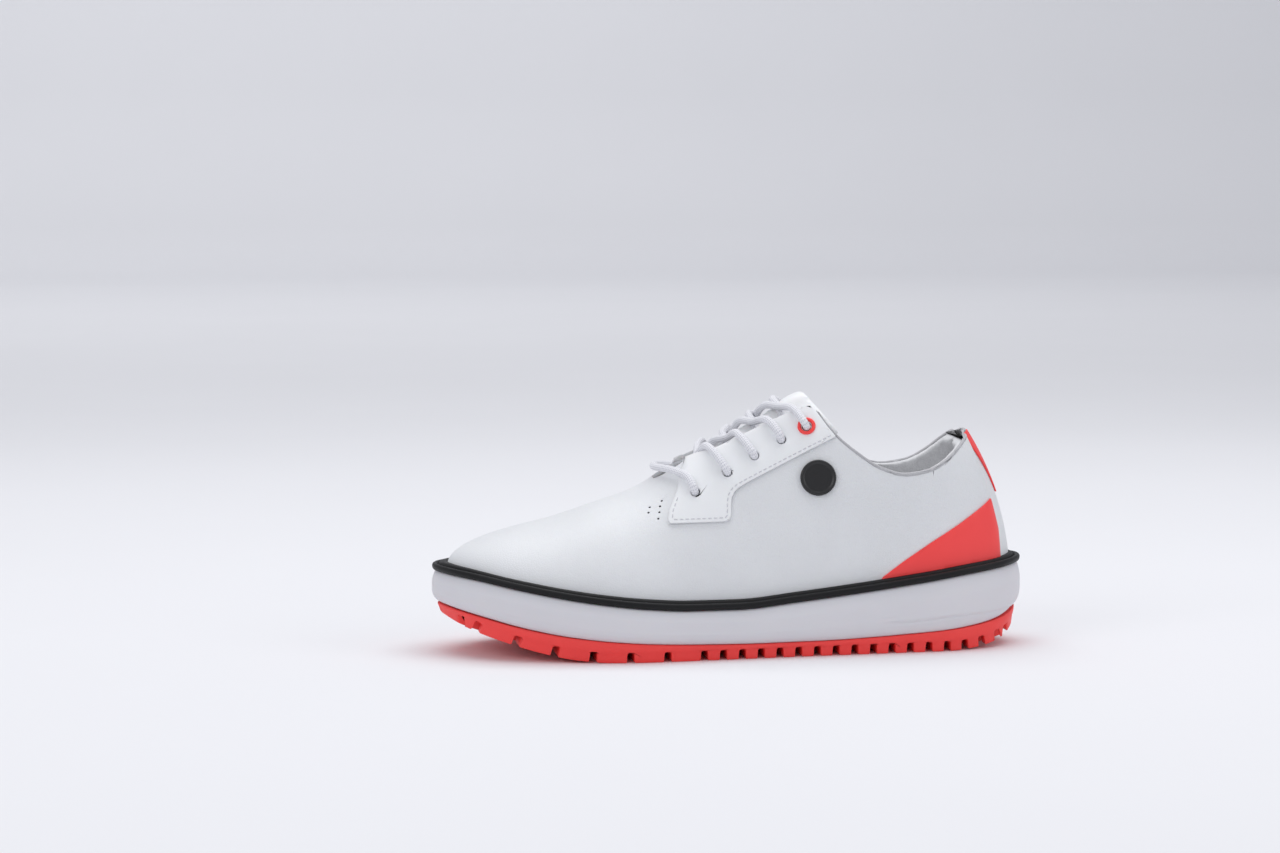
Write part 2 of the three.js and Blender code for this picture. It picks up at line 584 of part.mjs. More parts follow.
// ---- Badge and grommets ------------------------------------------------------------------------------

const BADGE_STATION = 0.63;
const BADGE_Z = 88.6;
const badgeProfile = [[0, -2], [0.5, -2], [0.5, 0.75], [0.44, 1], [0.36, 0.7], [0.2, 0.8], [0, 0.86]];
const badge = new THREE.LatheGeometry(badgeProfile.map(([r, h]) => new THREE.Vector2(
  r * BADGE_DIAMETER, h < 0 ? h : h * BADGE_HEIGHT)), 24);
const badgeSpot = onLast(stationX(BADGE_STATION), BADGE_Z, sides.lateral);
add("badge", solid(stand(badge, badgeSpot, CLEARANCE)).subtract(overLeather), 0x101012, 0.35);

const grommetProfile = [
  [EYELET_BORE / 2, -GROMMET_DEPTH], [GROMMET_BARREL / 2, -GROMMET_DEPTH], [GROMMET_BARREL / 2, 0],
  [GROMMET_DIAMETER / 2, 0], [GROMMET_DIAMETER / 2 - 0.5, GROMMET_FLANGE * 0.8],
  [GROMMET_DIAMETER / 2 - 1.2, GROMMET_FLANGE], [EYELET_BORE / 2, GROMMET_FLANGE * 0.5],
  [EYELET_BORE / 2, -GROMMET_DEPTH],
];
for (const side of Object.keys(sides)) {
  const ringed = new THREE.LatheGeometry(grommetProfile.map(([r, h]) => new THREE.Vector2(r, h)), 16);
  const spot = eyeletSpots[side][EYELETS.length - 1];
  add(`grommet_${side}`, solid(stand(ringed, spot, 2 * CLEARANCE + EYESTAY_WALL)), 0xff5450, 0.4);
}

// ---- Tongue ---------------------------------------------------------------------------------

const TONGUE_END = [[-200, 0], [66, 0], [66, 96], [31, 137], [31, 200], [-200, 200]];
// How far the tongue's crest lies below the crown line: low under the lace, flaring at the top.
const crestSink = along([[0.33, 6.5], [0.42, 9.5], [0.54, 9.5], [0.6, 6.5], [0.68, 5]]);
const tongueSink = (p) => {
  const s = stationOf(p.x);
  const wing = smooth((Math.abs(p.y - crownY(s)) - 6) / 12);
  return -(crestSink(s) + TONGUE_WING_SINK * wing);
};
const INTO_TONGUE = new THREE.Vector3(0.42, 0, -0.91);
const tongueForm = (depth) => form(tongueSink, INTO_TONGUE.clone().multiplyScalar(depth));
const tongueOutline = sideCut(TONGUE_END.map(([x, z]) => new THREE.Vector2(x, z)), -SPAN, SPAN);
function tonguePlan(inset) {
  const edge = (x, reach) => new THREE.Vector2(
    Math.max(x, TONGUE_FRONT + inset), crownY(stationOf(x)) + reach - Math.sign(reach) * inset);
  const outerSide = TONGUE_PLAN.map(([x, outer]) => edge(x, -outer));
  const innerSide = TONGUE_PLAN.map(([x, , inner]) => edge(x, inner));
  const shape = new THREE.Shape([...outerSide, ...innerSide.reverse()]);
  return solid(new THREE.ExtrudeGeometry(shape, { depth: 160, bevelEnabled: false }).translate(0, 0, 56));
}
const TONGUE_EDGE = 2.5; // the foam stops this far inside the seam
function tongueLayer(name, top, bottom, inset, colour, roughness) {
  const layers = tongueForm(top).subtract(tongueForm(bottom));
  const made = layers.intersect(tongueOutline).intersect(tonguePlan(inset));
  add(name, made, colour, roughness);
}
const padTop = TONGUE_FACE + CLEARANCE;
const padBottom = padTop + TONGUE_PAD;
tongueLayer("tongue_face", 0, TONGUE_FACE, 0, 0xf6f6f8, 0.5);
tongueLayer("tongue_padding", padTop, padBottom, TONGUE_EDGE, 0xf0ecd8, 0.95);
tongueLayer("tongue_lining", padBottom + CLEARANCE, padBottom + CLEARANCE + TONGUE_LINING, 0, 0x2a2a2e, 0.95);

// ---- Lace --------------------------------------------------------------------------------------------
// Crossed over the tongue, in from above at every eyelet. Both ends are tucked in on the footbed.

const LACE_ROUTE = [
  // outer end, lying in the heel, then up the inside of the wall
  [84, 16, 39.4], [98, 13, 40.6], [108, 6, 41.6], [110, -4, 41.8], [99, -13, 40.8], [82, -17, 39.2],
  [64, -21, 37.8], [52, -24, 42], [46, -28, 55], [43, -29, 70], [40.3, -25, 88], [37.8, -21.3, 103.1],
  // down the rows to the toe end
  [35.8, -18.1, 111.8], [35.5, -23, 112.5], [33, -29, 116], [28.8, -21.2, 122.4], [23.5, -9, 122.7],
  [17.8, 3.3, 122.1], [14.8, 10.2, 115.5], [15.5, 13.2, 108.5], [19, 15.5, 105.2], [22.5, 21, 106.5],
  [21, 25.5, 109], [19, 24.3, 112.8],
  [16.8, 21.8, 115.5], [13.3, 13, 117.4], [10.3, 3.8, 117.6], [12, -5, 112.4],
  [13, -14.2, 101.8], [10.5, -18, 96.8], [9, -23.5, 98], [7, -27.5, 101.5], [1.6, -20.6, 109.2], [0.1, -16.6, 110.4],
  [-3, -9, 107.3], [-8.2, 3.3, 104.5], [-11.2, 9.8, 97.8], [-11, 13, 92], [-8.5, 15.5, 89], [-5.5, 18.5, 89],
  [-5.5, 24, 90], [-6.5, 28.5, 93.5], [-8.5, 25.4, 98.7], [-10.9, 20.8, 102.9], [-14.5, 13, 101.5], [-16, 4, 97.6],
  [-15.5, -4.5, 93.8], [-17.5, -14, 84.5], [-19.8, -20.5, 78.4], [-21.5, -26, 80.2],
  [-23.1, -29.6, 84.2], [-25.5, -26, 89.3],
  // the bar across the toe end of the throat
  [-31.5, -17, 91.8], [-37, -6, 92.3], [-38.5, 4, 92], [-36, 14, 91.8], [-30.5, 22, 91],
  // back up the rows
  [-25.5, 27.5, 89.5], [-23, 30.5, 84], [-21.5, 26.5, 80.5], [-21.5, 21, 78.5], [-24, 16.5, 80.8],
  [-26, 12.5, 85], [-24.5, 8, 90], [-21, 3, 93.6], [-17.5, -8.5, 99.4], [-15, -14.3, 103.7],
  [-12.7, -20.9, 102.4],
  [-7, -28.5, 94], [-5, -25, 90], [-4.5, -19.5, 88], [-1.6, -14.8, 92.2], [-1.7, -5, 103.3],
  [-3.1, 3.8, 108.2], [-0.5, 13, 109], [2.8, 21.7, 109.4], [5.6, 24.8, 104.9], [7.5, 26.5, 101.5], [8.5, 22, 98.5],
  [8.5, 16.5, 97.5], [5.5, 14, 98.5], [3, 12.5, 101.5], [2.4, 9.9, 107.5], [5.3, 3.1, 114.5],
  [10.5, -9, 115.2], [15.6, -20.7, 117], [20.7, -27.2, 110.1], [22.5, -22.6, 105.8],
  [24, -18, 104.8], [26.4, -15.1, 110.5], [24.5, -5.6, 121.2], [22.6, 3.6, 125.3], [26.3, 13, 124],
  [30, 21.6, 121.5], [33.5, 27.5, 115.5], [35.5, 20.5, 113], [35.8, 16, 112.2],
  // down the inside of the wall and forward along the footbed
  [36.9, 17.8, 104.1], [38.4, 19.6, 97.1], [39.5, 21.3, 88], [40, 22.6, 76], [40, 22.4, 56], [37, 21, 42],
  [26, 18.5, 35.4], [8, 19.5, 33.6], [-12, 22, 33], [-34, 24, 33.2], [-56, 25, 33.8], [-76, 24, 35],
];

// A curve that is stepped evenly from point to point rather than evenly along its length.
class LaceCurve extends THREE.CatmullRomCurve3 {
  getPointAt(u, target) {
    return this.getPoint(u, target);
  }

  getTangentAt(u, target) {
    return this.getTangent(u, target);
  }
}
const LACE_SIDES = 8;
const lacePoints = LACE_ROUTE.map(([x, y, z]) => new THREE.Vector3(x, y, z));
const laceCurve = new LaceCurve(lacePoints, false, "centripetal");
const laceSection = new THREE.Shape(Array.from({ length: LACE_SIDES }, (_, i) => {
  const turn = (2 * Math.PI * i) / LACE_SIDES;
  return new THREE.Vector2(Math.cos(turn), Math.sin(turn)).multiplyScalar(LACE_DIAMETER / 2);
}));
add("lace", solid(new THREE.ExtrudeGeometry(laceSection, {
  extrudePath: laceCurve, steps: LACE_ROUTE.length - 1, bevelEnabled: false,
})), 0xf4f4fa, 0.85);

const AGLET_DIAMETER = 3.2;
function aglet(name, end, before) {
  const way = end.clone().sub(before).normalize();
  const profile = [[0, 0], [0.5, 0], [0.5, AGLET_LENGTH * 0.86], [0.34, AGLET_LENGTH], [0, AGLET_LENGTH]]
    .map(([r, h]) => new THREE.Vector2(r * AGLET_DIAMETER, h));
  const shape = new THREE.LatheGeometry(profile, LACE_SIDES);
  const turn = new THREE.Quaternion().setFromUnitVectors(new THREE.Vector3(0, 1, 0), way);
  const start = end.clone().addScaledVector(way, CLEARANCE);
  add(name, solid(shape.applyQuaternion(turn).translate(start.x, start.y, start.z)), 0xf0f0f4, 0.3);
}
aglet("aglet_heel", lacePoints[0], lacePoints[1]);
aglet("aglet_toe", lacePoints[lacePoints.length - 1], lacePoints[lacePoints.length - 2]);

export default group;
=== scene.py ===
import bpy
import bmesh
import math
from mathutils import Matrix, Vector
from mathutils.bvhtree import BVHTree


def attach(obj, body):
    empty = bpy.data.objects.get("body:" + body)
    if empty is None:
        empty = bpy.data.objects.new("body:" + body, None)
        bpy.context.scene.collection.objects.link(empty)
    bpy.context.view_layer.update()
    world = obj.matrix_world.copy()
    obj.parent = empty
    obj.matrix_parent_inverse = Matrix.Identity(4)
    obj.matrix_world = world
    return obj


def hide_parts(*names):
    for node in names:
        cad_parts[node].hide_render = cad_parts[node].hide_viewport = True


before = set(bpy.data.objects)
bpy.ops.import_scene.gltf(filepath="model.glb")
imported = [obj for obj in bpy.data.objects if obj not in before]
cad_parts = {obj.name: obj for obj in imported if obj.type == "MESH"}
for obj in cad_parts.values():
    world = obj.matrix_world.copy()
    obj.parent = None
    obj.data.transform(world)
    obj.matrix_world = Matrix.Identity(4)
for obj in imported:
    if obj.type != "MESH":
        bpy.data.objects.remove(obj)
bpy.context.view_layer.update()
bpy.ops.object.select_all(action="DESELECT")

# ---- Camera, floor and light -------------------------------------------------------------------
# A low side view of the shoe's outer side, on a pale seamless sweep, under three soft boxes, with
# a fourth on the wall behind.

camera_data = bpy.data.cameras.new("camera")
camera_data.lens = 97.5
camera_data.sensor_width = 36
camera = bpy.data.objects.new("camera", camera_data)
camera.location = (-0.2888, -1.7251, 0.262)
camera.rotation_euler = (math.radians(85.1), 0, math.radians(-8.01))
bpy.context.collection.objects.link(camera)
bpy.context.scene.camera = camera
bpy.context.scene.view_settings.view_transform = "Standard"


def new_material(name):
    """A material with its shader, and the two calls that build its nodes."""
    material = bpy.data.materials.new(name)
    material.use_nodes = True
    tree = material.node_tree
    shader = tree.nodes["Principled BSDF"]

    def node(kind, **settings):
        made = tree.nodes.new("ShaderNode" + kind)
        for key, value in settings.items():
            if key.startswith("_"):
                setattr(made, key[1:], value)
            else:
                made.inputs[key.replace("_", " ")].default_value = value
        return made

    def join(source, target):
        tree.links.new(source, target)

    return material, shader, node, join


material, shader, node, join = new_material("paper_sweep")
where = node("TexCoord")
mottle = node("TexNoise", Scale=3.0)
join(where.outputs["Object"], mottle.inputs["Vector"])
tint = node("ValToRGB")
tint.color_ramp.elements[0].color = (0.80, 0.805, 0.83, 1)
tint.color_ramp.elements[1].color = (0.82, 0.825, 0.85, 1)
join(mottle.outputs[0], tint.inputs[0])
join(tint.outputs[0], shader.inputs["Base Color"])
shader.inputs["Roughness"].default_value = 0.9
paper = material
bpy.ops.mesh.primitive_plane_add(size=1, location=(0, 0, 0))
floor = bpy.context.object
floor.name = "paper_floor"
bpy.ops.object.mode_set(mode="EDIT")
bpy.ops.mesh.select_all(action="SELECT")
bpy.ops.transform.resize(value=(9, 7, 1))
bpy.ops.transform.translate(value=(0, 0.9, 0))
bpy.ops.mesh.select_all(action="DESELECT")
bpy.ops.object.mode_set(mode="OBJECT")
for vertex in floor.data.vertices:
    vertex.select = vertex.co.y > 4
for edge in floor.data.edges:
    edge.select = all(floor.data.vertices[v].co.y > 4 for v in edge.vertices)
bpy.ops.object.mode_set(mode="EDIT")
for rise, back in ((0.08, 0.35), (0.25, 0.3), (0.5, 0.2), (2.6, 0.1)):
    bpy.ops.mesh.extrude_region_move(TRANSFORM_OT_translate={"value": (0, back, rise)})
bpy.ops.object.mode_set(mode="OBJECT")
bpy.ops.object.shade_smooth()
floor.data.materials.append(paper)

world = bpy.data.worlds.new("room")
bpy.context.scene.world = world
world.use_nodes = True
world.node_tree.nodes["Background"].inputs[0].default_value = (0.93, 0.94, 1, 1)
world.node_tree.nodes["Background"].inputs[1].default_value = 0.52


def soft_box(name, place, aim, width, height, power):
    light = bpy.data.lights.new(name, "AREA")
    light.shape = "RECTANGLE"
    light.size = width
    light.size_y = height
    light.energy = power
    box = bpy.data.objects.new(name, light)
    box.location = place
    box.rotation_euler = (Vector(aim) - Vector(place)).to_track_quat("-Z", "Y").to_euler()
    bpy.context.collection.objects.link(box)


soft_box("overhead_box", (0.1, 0.3, 1.9), (0, 0, 0), 2.2, 1.6, 24)
soft_box("front_box", (-1.7, -1.5, 1.4), (0, 0, 0.05), 1.4, 1.2, 11)
soft_box("side_box", (1.9, -1.2, 1.0), (0, 0, 0.06), 1.2, 1.2, 7)
soft_box("wall_box", (-0.3, 2.5, 2.5), (-0.3, 5.3, 1.1), 3.2, 0.8, 36)

# ---- Lace --------------------------------------------------------------------------------------
# One round braided polyester cord, 3.8 mm thick, crossed over the tongue from above through five
# pairs of eyelets. Both ends drop inside the shoe and lie on the footbed.

LACE_THICKNESS = 0.0038
MIDDLE_Y = 0.000864
LACE_ROUTE = [
    # outer end, lying in the heel, then up the inside of the wall
    (84, 16, 39.4), (98, 13, 40.6), (108, 6, 41.6), (110, -4, 41.8), (99, -13, 40.8), (82, -17, 39.2),
    (64, -21, 37.8), (52, -24, 42), (46, -28, 55), (43, -29, 70), (40.3, -25, 88), (37.8, -21.3, 103.1),
    # down the rows to the toe end
    (35.8, -18.1, 111.8), (35.5, -23, 112.5), (33, -29, 116), (28.8, -21.2, 122.4), (23.5, -9, 122.7),
    (17.8, 3.3, 122.1), (14.8, 10.2, 115.5), (15.5, 13.2, 108.5), (19, 15.5, 105.2), (22.5, 21, 106.5),
    (21, 25.5, 109), (19, 24.3, 112.8),
    (16.8, 21.8, 115.5), (13.3, 13, 117.4), (10.3, 3.8, 117.6), (12, -5, 112.4),
    (13, -14.2, 101.8), (10.5, -18, 96.8), (9, -23.5, 98), (7, -27.5, 101.5),
    (1.6, -20.6, 109.2), (0.1, -16.6, 110.4),
    (-3, -9, 107.3), (-8.2, 3.3, 104.5), (-11.2, 9.8, 97.8), (-11, 13, 92), (-8.5, 15.5, 89), (-5.5, 18.5, 89),
    (-5.5, 24, 90), (-6.5, 28.5, 93.5), (-8.5, 25.4, 98.7), (-10.9, 20.8, 102.9),
    (-14.5, 13, 101.5), (-16, 4, 97.6),
    (-15.5, -4.5, 93.8), (-17.5, -14, 84.5), (-19.8, -20.5, 78.4), (-21.5, -26, 80.2),
    (-23.1, -29.6, 84.2), (-25.5, -26, 89.3),
    # the bar across the toe end of the throat
    (-31.5, -17, 91.8), (-37, -6, 92.3), (-38.5, 4, 92), (-36, 14, 91.8), (-30.5, 22, 91),
    # back up the rows
    (-25.5, 27.5, 89.5), (-23, 30.5, 84), (-21.5, 26.5, 80.5), (-21.5, 21, 78.5), (-24, 16.5, 80.8),
    (-26, 12.5, 85), (-24.5, 8, 90), (-21, 3, 93.6), (-17.5, -8.5, 99.4), (-15, -14.3, 103.7),
    (-12.7, -20.9, 102.4),
    (-7, -28.5, 94), (-5, -25, 90), (-4.5, -19.5, 88), (-1.6, -14.8, 92.2), (-1.7, -5, 103.3),
    (-3.1, 3.8, 108.2), (-0.5, 13, 109), (2.8, 21.7, 109.4), (5.6, 24.8, 104.9),
    (7.5, 26.5, 101.5), (8.5, 22, 98.5),
    (8.5, 16.5, 97.5), (5.5, 14, 98.5), (3, 12.5, 101.5), (2.4, 9.9, 107.5), (5.3, 3.1, 114.5),
    (10.5, -9, 115.2), (15.6, -20.7, 117), (20.7, -27.2, 110.1), (22.5, -22.6, 105.8),
    (24, -18, 104.8), (26.4, -15.1, 110.5), (24.5, -5.6, 121.2), (22.6, 3.6, 125.3), (26.3, 13, 124),
    (30, 21.6, 121.5), (33.5, 27.5, 115.5), (35.5, 20.5, 113), (35.8, 16, 112.2),
    # down the inside of the wall and forward along the footbed
    (36.9, 17.8, 104.1), (38.4, 19.6, 97.1), (39.5, 21.3, 88), (40, 22.6, 76), (40, 22.4, 56), (37, 21, 42),
    (26, 18.5, 35.4), (8, 19.5, 33.6), (-12, 22, 33), (-34, 24, 33.2), (-56, 25, 33.8), (-76, 24, 35),
]


def smooth_through(points, at, closed=False):
    """The place on a centripetal spline through points, where at counts the points."""
    count = len(points)
    whole = math.floor(at)
    if closed:
        a, b, c, d = (points[(whole + k) % count] for k in (-1, 0, 1, 2))
    else:
        whole = min(max(whole, 0), count - 2)
        b, c = points[whole], points[whole + 1]
        a = points[whole - 1] if whole > 0 else 2 * b - c
        d = points[whole + 2] if whole + 2 < count else 2 * c - b
    share = at - math.floor(at) if closed else at - whole
    gap0, gap1, gap2 = ((q - p).length ** 0.5 for p, q in ((a, b), (b, c), (c, d)))
    leave = ((b - a) / gap0 - (c - a) / (gap0 + gap1) + (c - b) / gap1) * gap1
    arrive = ((c - b) / gap1 - (d - b) / (gap1 + gap2) + (d - c) / gap2) * gap1
    rest = (-3 * b + 3 * c - 2 * leave - arrive) * share ** 2
    return b + leave * share + rest + (2 * b - 2 * c + leave + arrive) * share ** 3


def make_mesh(name, points, faces, smooth=True):
    """A mesh object at the origin, its doubles merged and its faces turned outwards."""
    mesh = bpy.data.meshes.new(name)
    mesh.from_pydata([tuple(p) for p in points], [], faces)
    made = bpy.data.objects.new(name, mesh)
    bpy.context.collection.objects.link(made)
    work = bmesh.new()
    work.from_mesh(mesh)
    bmesh.ops.remove_doubles(work, verts=work.verts, dist=2e-6)
    bmesh.ops.recalc_face_normals(work, faces=work.faces)
    for face in work.faces:
        face.smooth = smooth
    work.to_mesh(mesh)
    work.free()
    return made


route = [Vector((x / 1000, y / 1000 + MIDDLE_Y, z / 1000)) for x, y, z in LACE_ROUTE]
coarse = [smooth_through(route, k / 10) for k in range(10 * (len(route) - 1) + 1)]
travelled = [0.0]
for here, there in zip(coarse, coarse[1:]):
    travelled.append(travelled[-1] + (there - here).length)
LACE_STEP = 0.0009
lace_line = []
spot = 0
for k in range(int(travelled[-1] / LACE_STEP) + 1):
    while spot < len(coarse) - 2 and travelled[spot + 1] < k * LACE_STEP:
        spot += 1
    share = (k * LACE_STEP - travelled[spot]) / max(travelled[spot + 1] - travelled[spot], 1e-9)
    lace_line.append(coarse[spot].lerp(coarse[spot + 1], min(share, 1)))


def sweep(name, line, radius, sides):
    """A tube along a line, its ends closed with flat caps, with a map of turns round and metres along."""
    points, faces = [], []
    side = (line[1] - line[0]).orthogonal().normalized()
    for k, place in enumerate(line):
        ahead = line[min(k + 1, len(line) - 1)] - line[max(k - 1, 0)]
        ahead.normalize()
        side = (side - ahead * side.dot(ahead)).normalized()
        other = ahead.cross(side)
        for j in range(sides):
            turn = 2 * math.pi * j / sides
            points.append(place + (side * math.cos(turn) + other * math.sin(turn)) * radius(k))
    for k in range(len(line) - 1):
        for j in range(sides):
            low, high, nxt = k * sides, (k + 1) * sides, (j + 1) % sides
            faces.append((low + j, low + nxt, high + nxt, high + j))
    faces.append(tuple(reversed(range(sides))))
    faces.append(tuple(range(len(points) - sides, len(points))))
    mesh = bpy.data.meshes.new(name)
    mesh.from_pydata([tuple(p) for p in points], [], faces)
    uv = mesh.uv_layers.new(name="along")
    step = (line[1] - line[0]).length
    for face in mesh.polygons:
        face.use_smooth = len(face.vertices) == 4
        wraps = any(v % sides == 0 for v in face.vertices) and any(v % sides == sides - 1 for v in face.vertices)
        for loop in face.loop_indices:
            v = mesh.loops[loop].vertex_index
            j = v % sides
            round_ = (sides if wraps and j == 0 else j) / sides
            uv.data[loop].uv = (round_, v // sides * step)
    made = bpy.data.objects.new(name, mesh)
    bpy.context.collection.objects.link(made)
    return made



def lace_radius(k):
    return LACE_THICKNESS / 2 * (1 + 0.025 * math.sin(k * 0.9) * math.sin(k * 0.37))


lace = sweep("lace_braid", lace_line, lace_radius, 16)

# The braid: eight strands each way, so the pattern repeats round the cord and along it.
material, shader, node, join = new_material("braided_cord")
uv = node("UVMap", _uv_map="along")
split = node("SeparateXYZ")
join(uv.outputs[0], split.inputs[0])


def wave_of(turns, per_metre):
    """One set of strands winding round the cord, from 0 between strands to 1 on top of one."""
    around = node("Math", _operation="MULTIPLY")
    around.inputs[1].default_value = turns * 2 * math.pi
    forward = node("Math", _operation="MULTIPLY_ADD")
    forward.inputs[1].default_value = per_metre * 2 * math.pi
    join(split.outputs[0], around.inputs[0])
    join(split.outputs[1], forward.inputs[0])
    join(around.outputs[0], forward.inputs[2])
    sine = node("Math", _operation="SINE")
    join(forward.outputs[0], sine.inputs[0])
    return sine


right = wave_of(6, 420)
left = wave_of(-6, 420)
crossing = node("Math", _operation="MULTIPLY")
join(right.outputs[0], crossing.inputs[0])
join(left.outputs[0], crossing.inputs[1])
cells = node("MapRange", From_Min=-1.0, From_Max=1.0)
join(crossing.outputs[0], cells.inputs["Value"])
# Painted shade: the ramp darkens the white cord between the strands and lightens it on top of them, following the same
# relief as the bump.
tint = node("ValToRGB")
tint.color_ramp.elements[0].color = (0.60, 0.61, 0.68, 1)
tint.color_ramp.elements[1].color = (0.87, 0.875, 0.91, 1)
tint.color_ramp.elements[1].position = 0.55
join(cells.outputs[0], tint.inputs[0])
join(tint.outputs[0], shader.inputs["Base Color"])
bump = node("Bump", Strength=0.75, Distance=0.0004)
join(cells.outputs[0], bump.inputs["Height"])
join(bump.outputs[0], shader.inputs["Normal"])
shader.inputs["Roughness"].default_value = 0.72
shader.inputs["Sheen Weight"].default_value = 0.25
lace.data.materials.append(material)
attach(lace, "shoe")
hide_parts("lace")

# ---- Aglets ------------------------------------------------------------------------------------
# The clear plastic tips that bind the lace's two ends, shrunk on over the braid.

material, shader, node, join = new_material("clear_tip_plastic")
noise = node("TexNoise", Scale=900.0, Detail=2.0)
where = node("TexCoord")
join(where.outputs["Object"], noise.inputs["Vector"])
tint = node("ValToRGB")
tint.color_ramp.elements[0].color = (0.66, 0.67, 0.72, 1)
tint.color_ramp.elements[1].color = (0.84, 0.85, 0.88, 1)
join(noise.outputs[0], tint.inputs[0])
join(tint.outputs[0], shader.inputs["Base Color"])
shader.inputs["Roughness"].default_value = 0.18
shader.inputs["Coat Weight"].default_value = 0.6
for name in ("aglet_heel", "aglet_toe"):
    bpy.data.objects[name].data.materials.clear()
    bpy.data.objects[name].data.materials.append(material)

# ---- Midsole -----------------------------------------------------------------------------------
# The white foam wall under the upper, moulded in one piece. Its side bulges at mid height, rolls
# in below the rand, and has a shallow moulded line round the heel.

SOLE_LENGTH = 0.302
SOLE_WIDTH = 0.108
CLEARANCE = 0.0003


def station(x):
    return x / SOLE_LENGTH + 0.5


def along(pairs, unit=0.001):
    """A smooth curve through (station, value) pairs, in metres, that never overshoots them."""
    s = [p[0] for p in pairs]
    v = [p[1] * unit for p in pairs]
    rise = [(v[i + 1] - v[i]) / (s[i + 1] - s[i]) for i in range(len(s) - 1)]
    slope = []
    for i in range(len(s)):
        a, b = rise[max(i - 1, 0)], rise[min(i, len(rise) - 1)]
        slope.append(2 * a * b / (a + b) if a * b > 0 else 0.0)

    def value(at):
        t = min(max(at, s[0]), s[-1])
        i = 0
        while i < len(rise) - 1 and s[i + 1] < t:
            i += 1
        w = s[i + 1] - s[i]
        q = (t - s[i]) / w
        return ((1 + 2 * q) * (1 - q) ** 2 * v[i] + q * (1 - q) ** 2 * w * slope[i]
                + q * q * (3 - 2 * q) * v[i + 1] + q * q * (q - 1) * w * slope[i + 1])

    return value


midsole_bottom = along([(0, 25.5), (0.07, 21.4), (0.13, 17.2), (0.195, 13.6), (0.26, 11.2), (0.34, 9.4),
                        (0.43, 8.3), (0.53, 7.8), (0.63, 7.9), (0.73, 8.9), (0.84, 10.8), (0.91, 13.2),
                        (0.96, 16.2), (1, 20.5)])
midsole_top = along([(0, 41), (0.055, 39.6), (0.13, 35.5), (0.195, 32), (0.26, 29.1), (0.34, 26.5),
                     (0.41, 25.2), (0.49, 25.1), (0.59, 27.7), (0.7, 31.3), (0.8, 35.1), (0.89, 38.9),
                     (0.97, 41.3), (1, 41.8)])
OUTLINE = [(0.02, -0.125, 0.215), (0.07, -0.3, 0.36), (0.16, -0.43, 0.455), (0.3, -0.51, 0.49),
           (0.45, -0.478, 0.425), (0.61, -0.422, 0.355), (0.76, -0.38, 0.348), (0.88, -0.335, 0.325),
           (0.96, -0.22, 0.24)]
outline_points = [Vector(((s - 0.5) * SOLE_LENGTH, share * SOLE_WIDTH, 0)) for s, share in
                  [(0, 0.05)] + [(s, a) for s, a, b in OUTLINE] + [(1, 0.01)]
                  + [(s, b) for s, a, b in reversed(OUTLINE)]]
ROUND = 200
seen_edges = {}


def edge_point(u, inset):
    key = round(u % 1, 9)
    if key not in seen_edges:
        here, ahead, behind = (smooth_through(outline_points, ((u + d) % 1) * len(outline_points), True)
                               for d in (0, 1e-3, -1e-3))
        seen_edges[key] = (here, (ahead - behind).normalized())
    here, run = seen_edges[key]
    return Vector((here.x - run.y * inset, here.y + run.x * inset, 0))


def lift(p, z):
    """Raises a point of the sole's plan to its height, in the shoe's own place."""
    return Vector((p.x, p.y + MIDDLE_Y, z))


def loft(name, rings, closed=False):
    """Joins rings of points into one closed surface, with an end face top and bottom."""
    count = len(rings[0])
    faces = []
    for j in range(len(rings) if closed else len(rings) - 1):
        low, high = j * count, (j + 1) % len(rings) * count
        for i in range(count):
            n = (i + 1) % count
            faces.append((low + i, low + n, high + n, high + i))
    if not closed:
        top = (len(rings) - 1) * count
        for i in range(count // 2):
            a, b, c, d = i, i + 1, count - i - 1, (count - i) % count
            faces.append((d, c, b, a))
            faces.append((top + a, top + b, top + c, top + d))
    faces = [f for f in faces if len(set(f)) > 2]
    return make_mesh(name, [p for ring in rings for p in ring], faces)


def smooth_step(t):
    t = min(max(t, 0), 1)
    return t * t * (3 - 2 * t)


midsole_side = along([(0, 3.4), (0.05, 2.1), (0.12, 1.1), (0.22, 0.35), (0.34, 0), (0.62, 0), (0.78, 0.45),
                      (0.88, 1.0), (0.95, 1.5), (1, 2.2)])
# The moulded line: (x, height) from the waist round the outer side of the heel.
HEEL_LINE = along([(station(0.072), 20.2), (station(0.0765), 17), (station(0.081), 15.6), (station(0.0955), 16.8),
                   (station(0.1115), 18.1), (station(0.1286), 18.9), (station(0.15), 19.6)])


def heel_line_depth(p, z):
    if p.x < 0.0715:
        return 0.0
    away = abs(z - HEEL_LINE(station(p.x)))
    start = smooth_step((p.x - 0.0715) / 0.006)
    below = HEEL_LINE(station(p.x)) - z
    step = 0.0004 * smooth_step(below / 0.0016 + 0.5) * (1 - smooth_step((below - 0.003) / 0.005))
    return start * (0.0006 * math.exp(-(away / 0.00055) ** 2) + step)


midsole_rings = []
for k in range(61):
    share = k / 60
    ring = []
    for i in range(ROUND):
        flat = edge_point(i / ROUND, 0)
        s = station(flat.x)
        z = midsole_bottom(s) + (midsole_top(s) - midsole_bottom(s)) * share
        p = edge_point(i / ROUND, midsole_side(share) + heel_line_depth(flat, z))
        ring.append(lift(p, z))
    midsole_rings.append(ring)
midsole = loft("midsole_foam", midsole_rings)

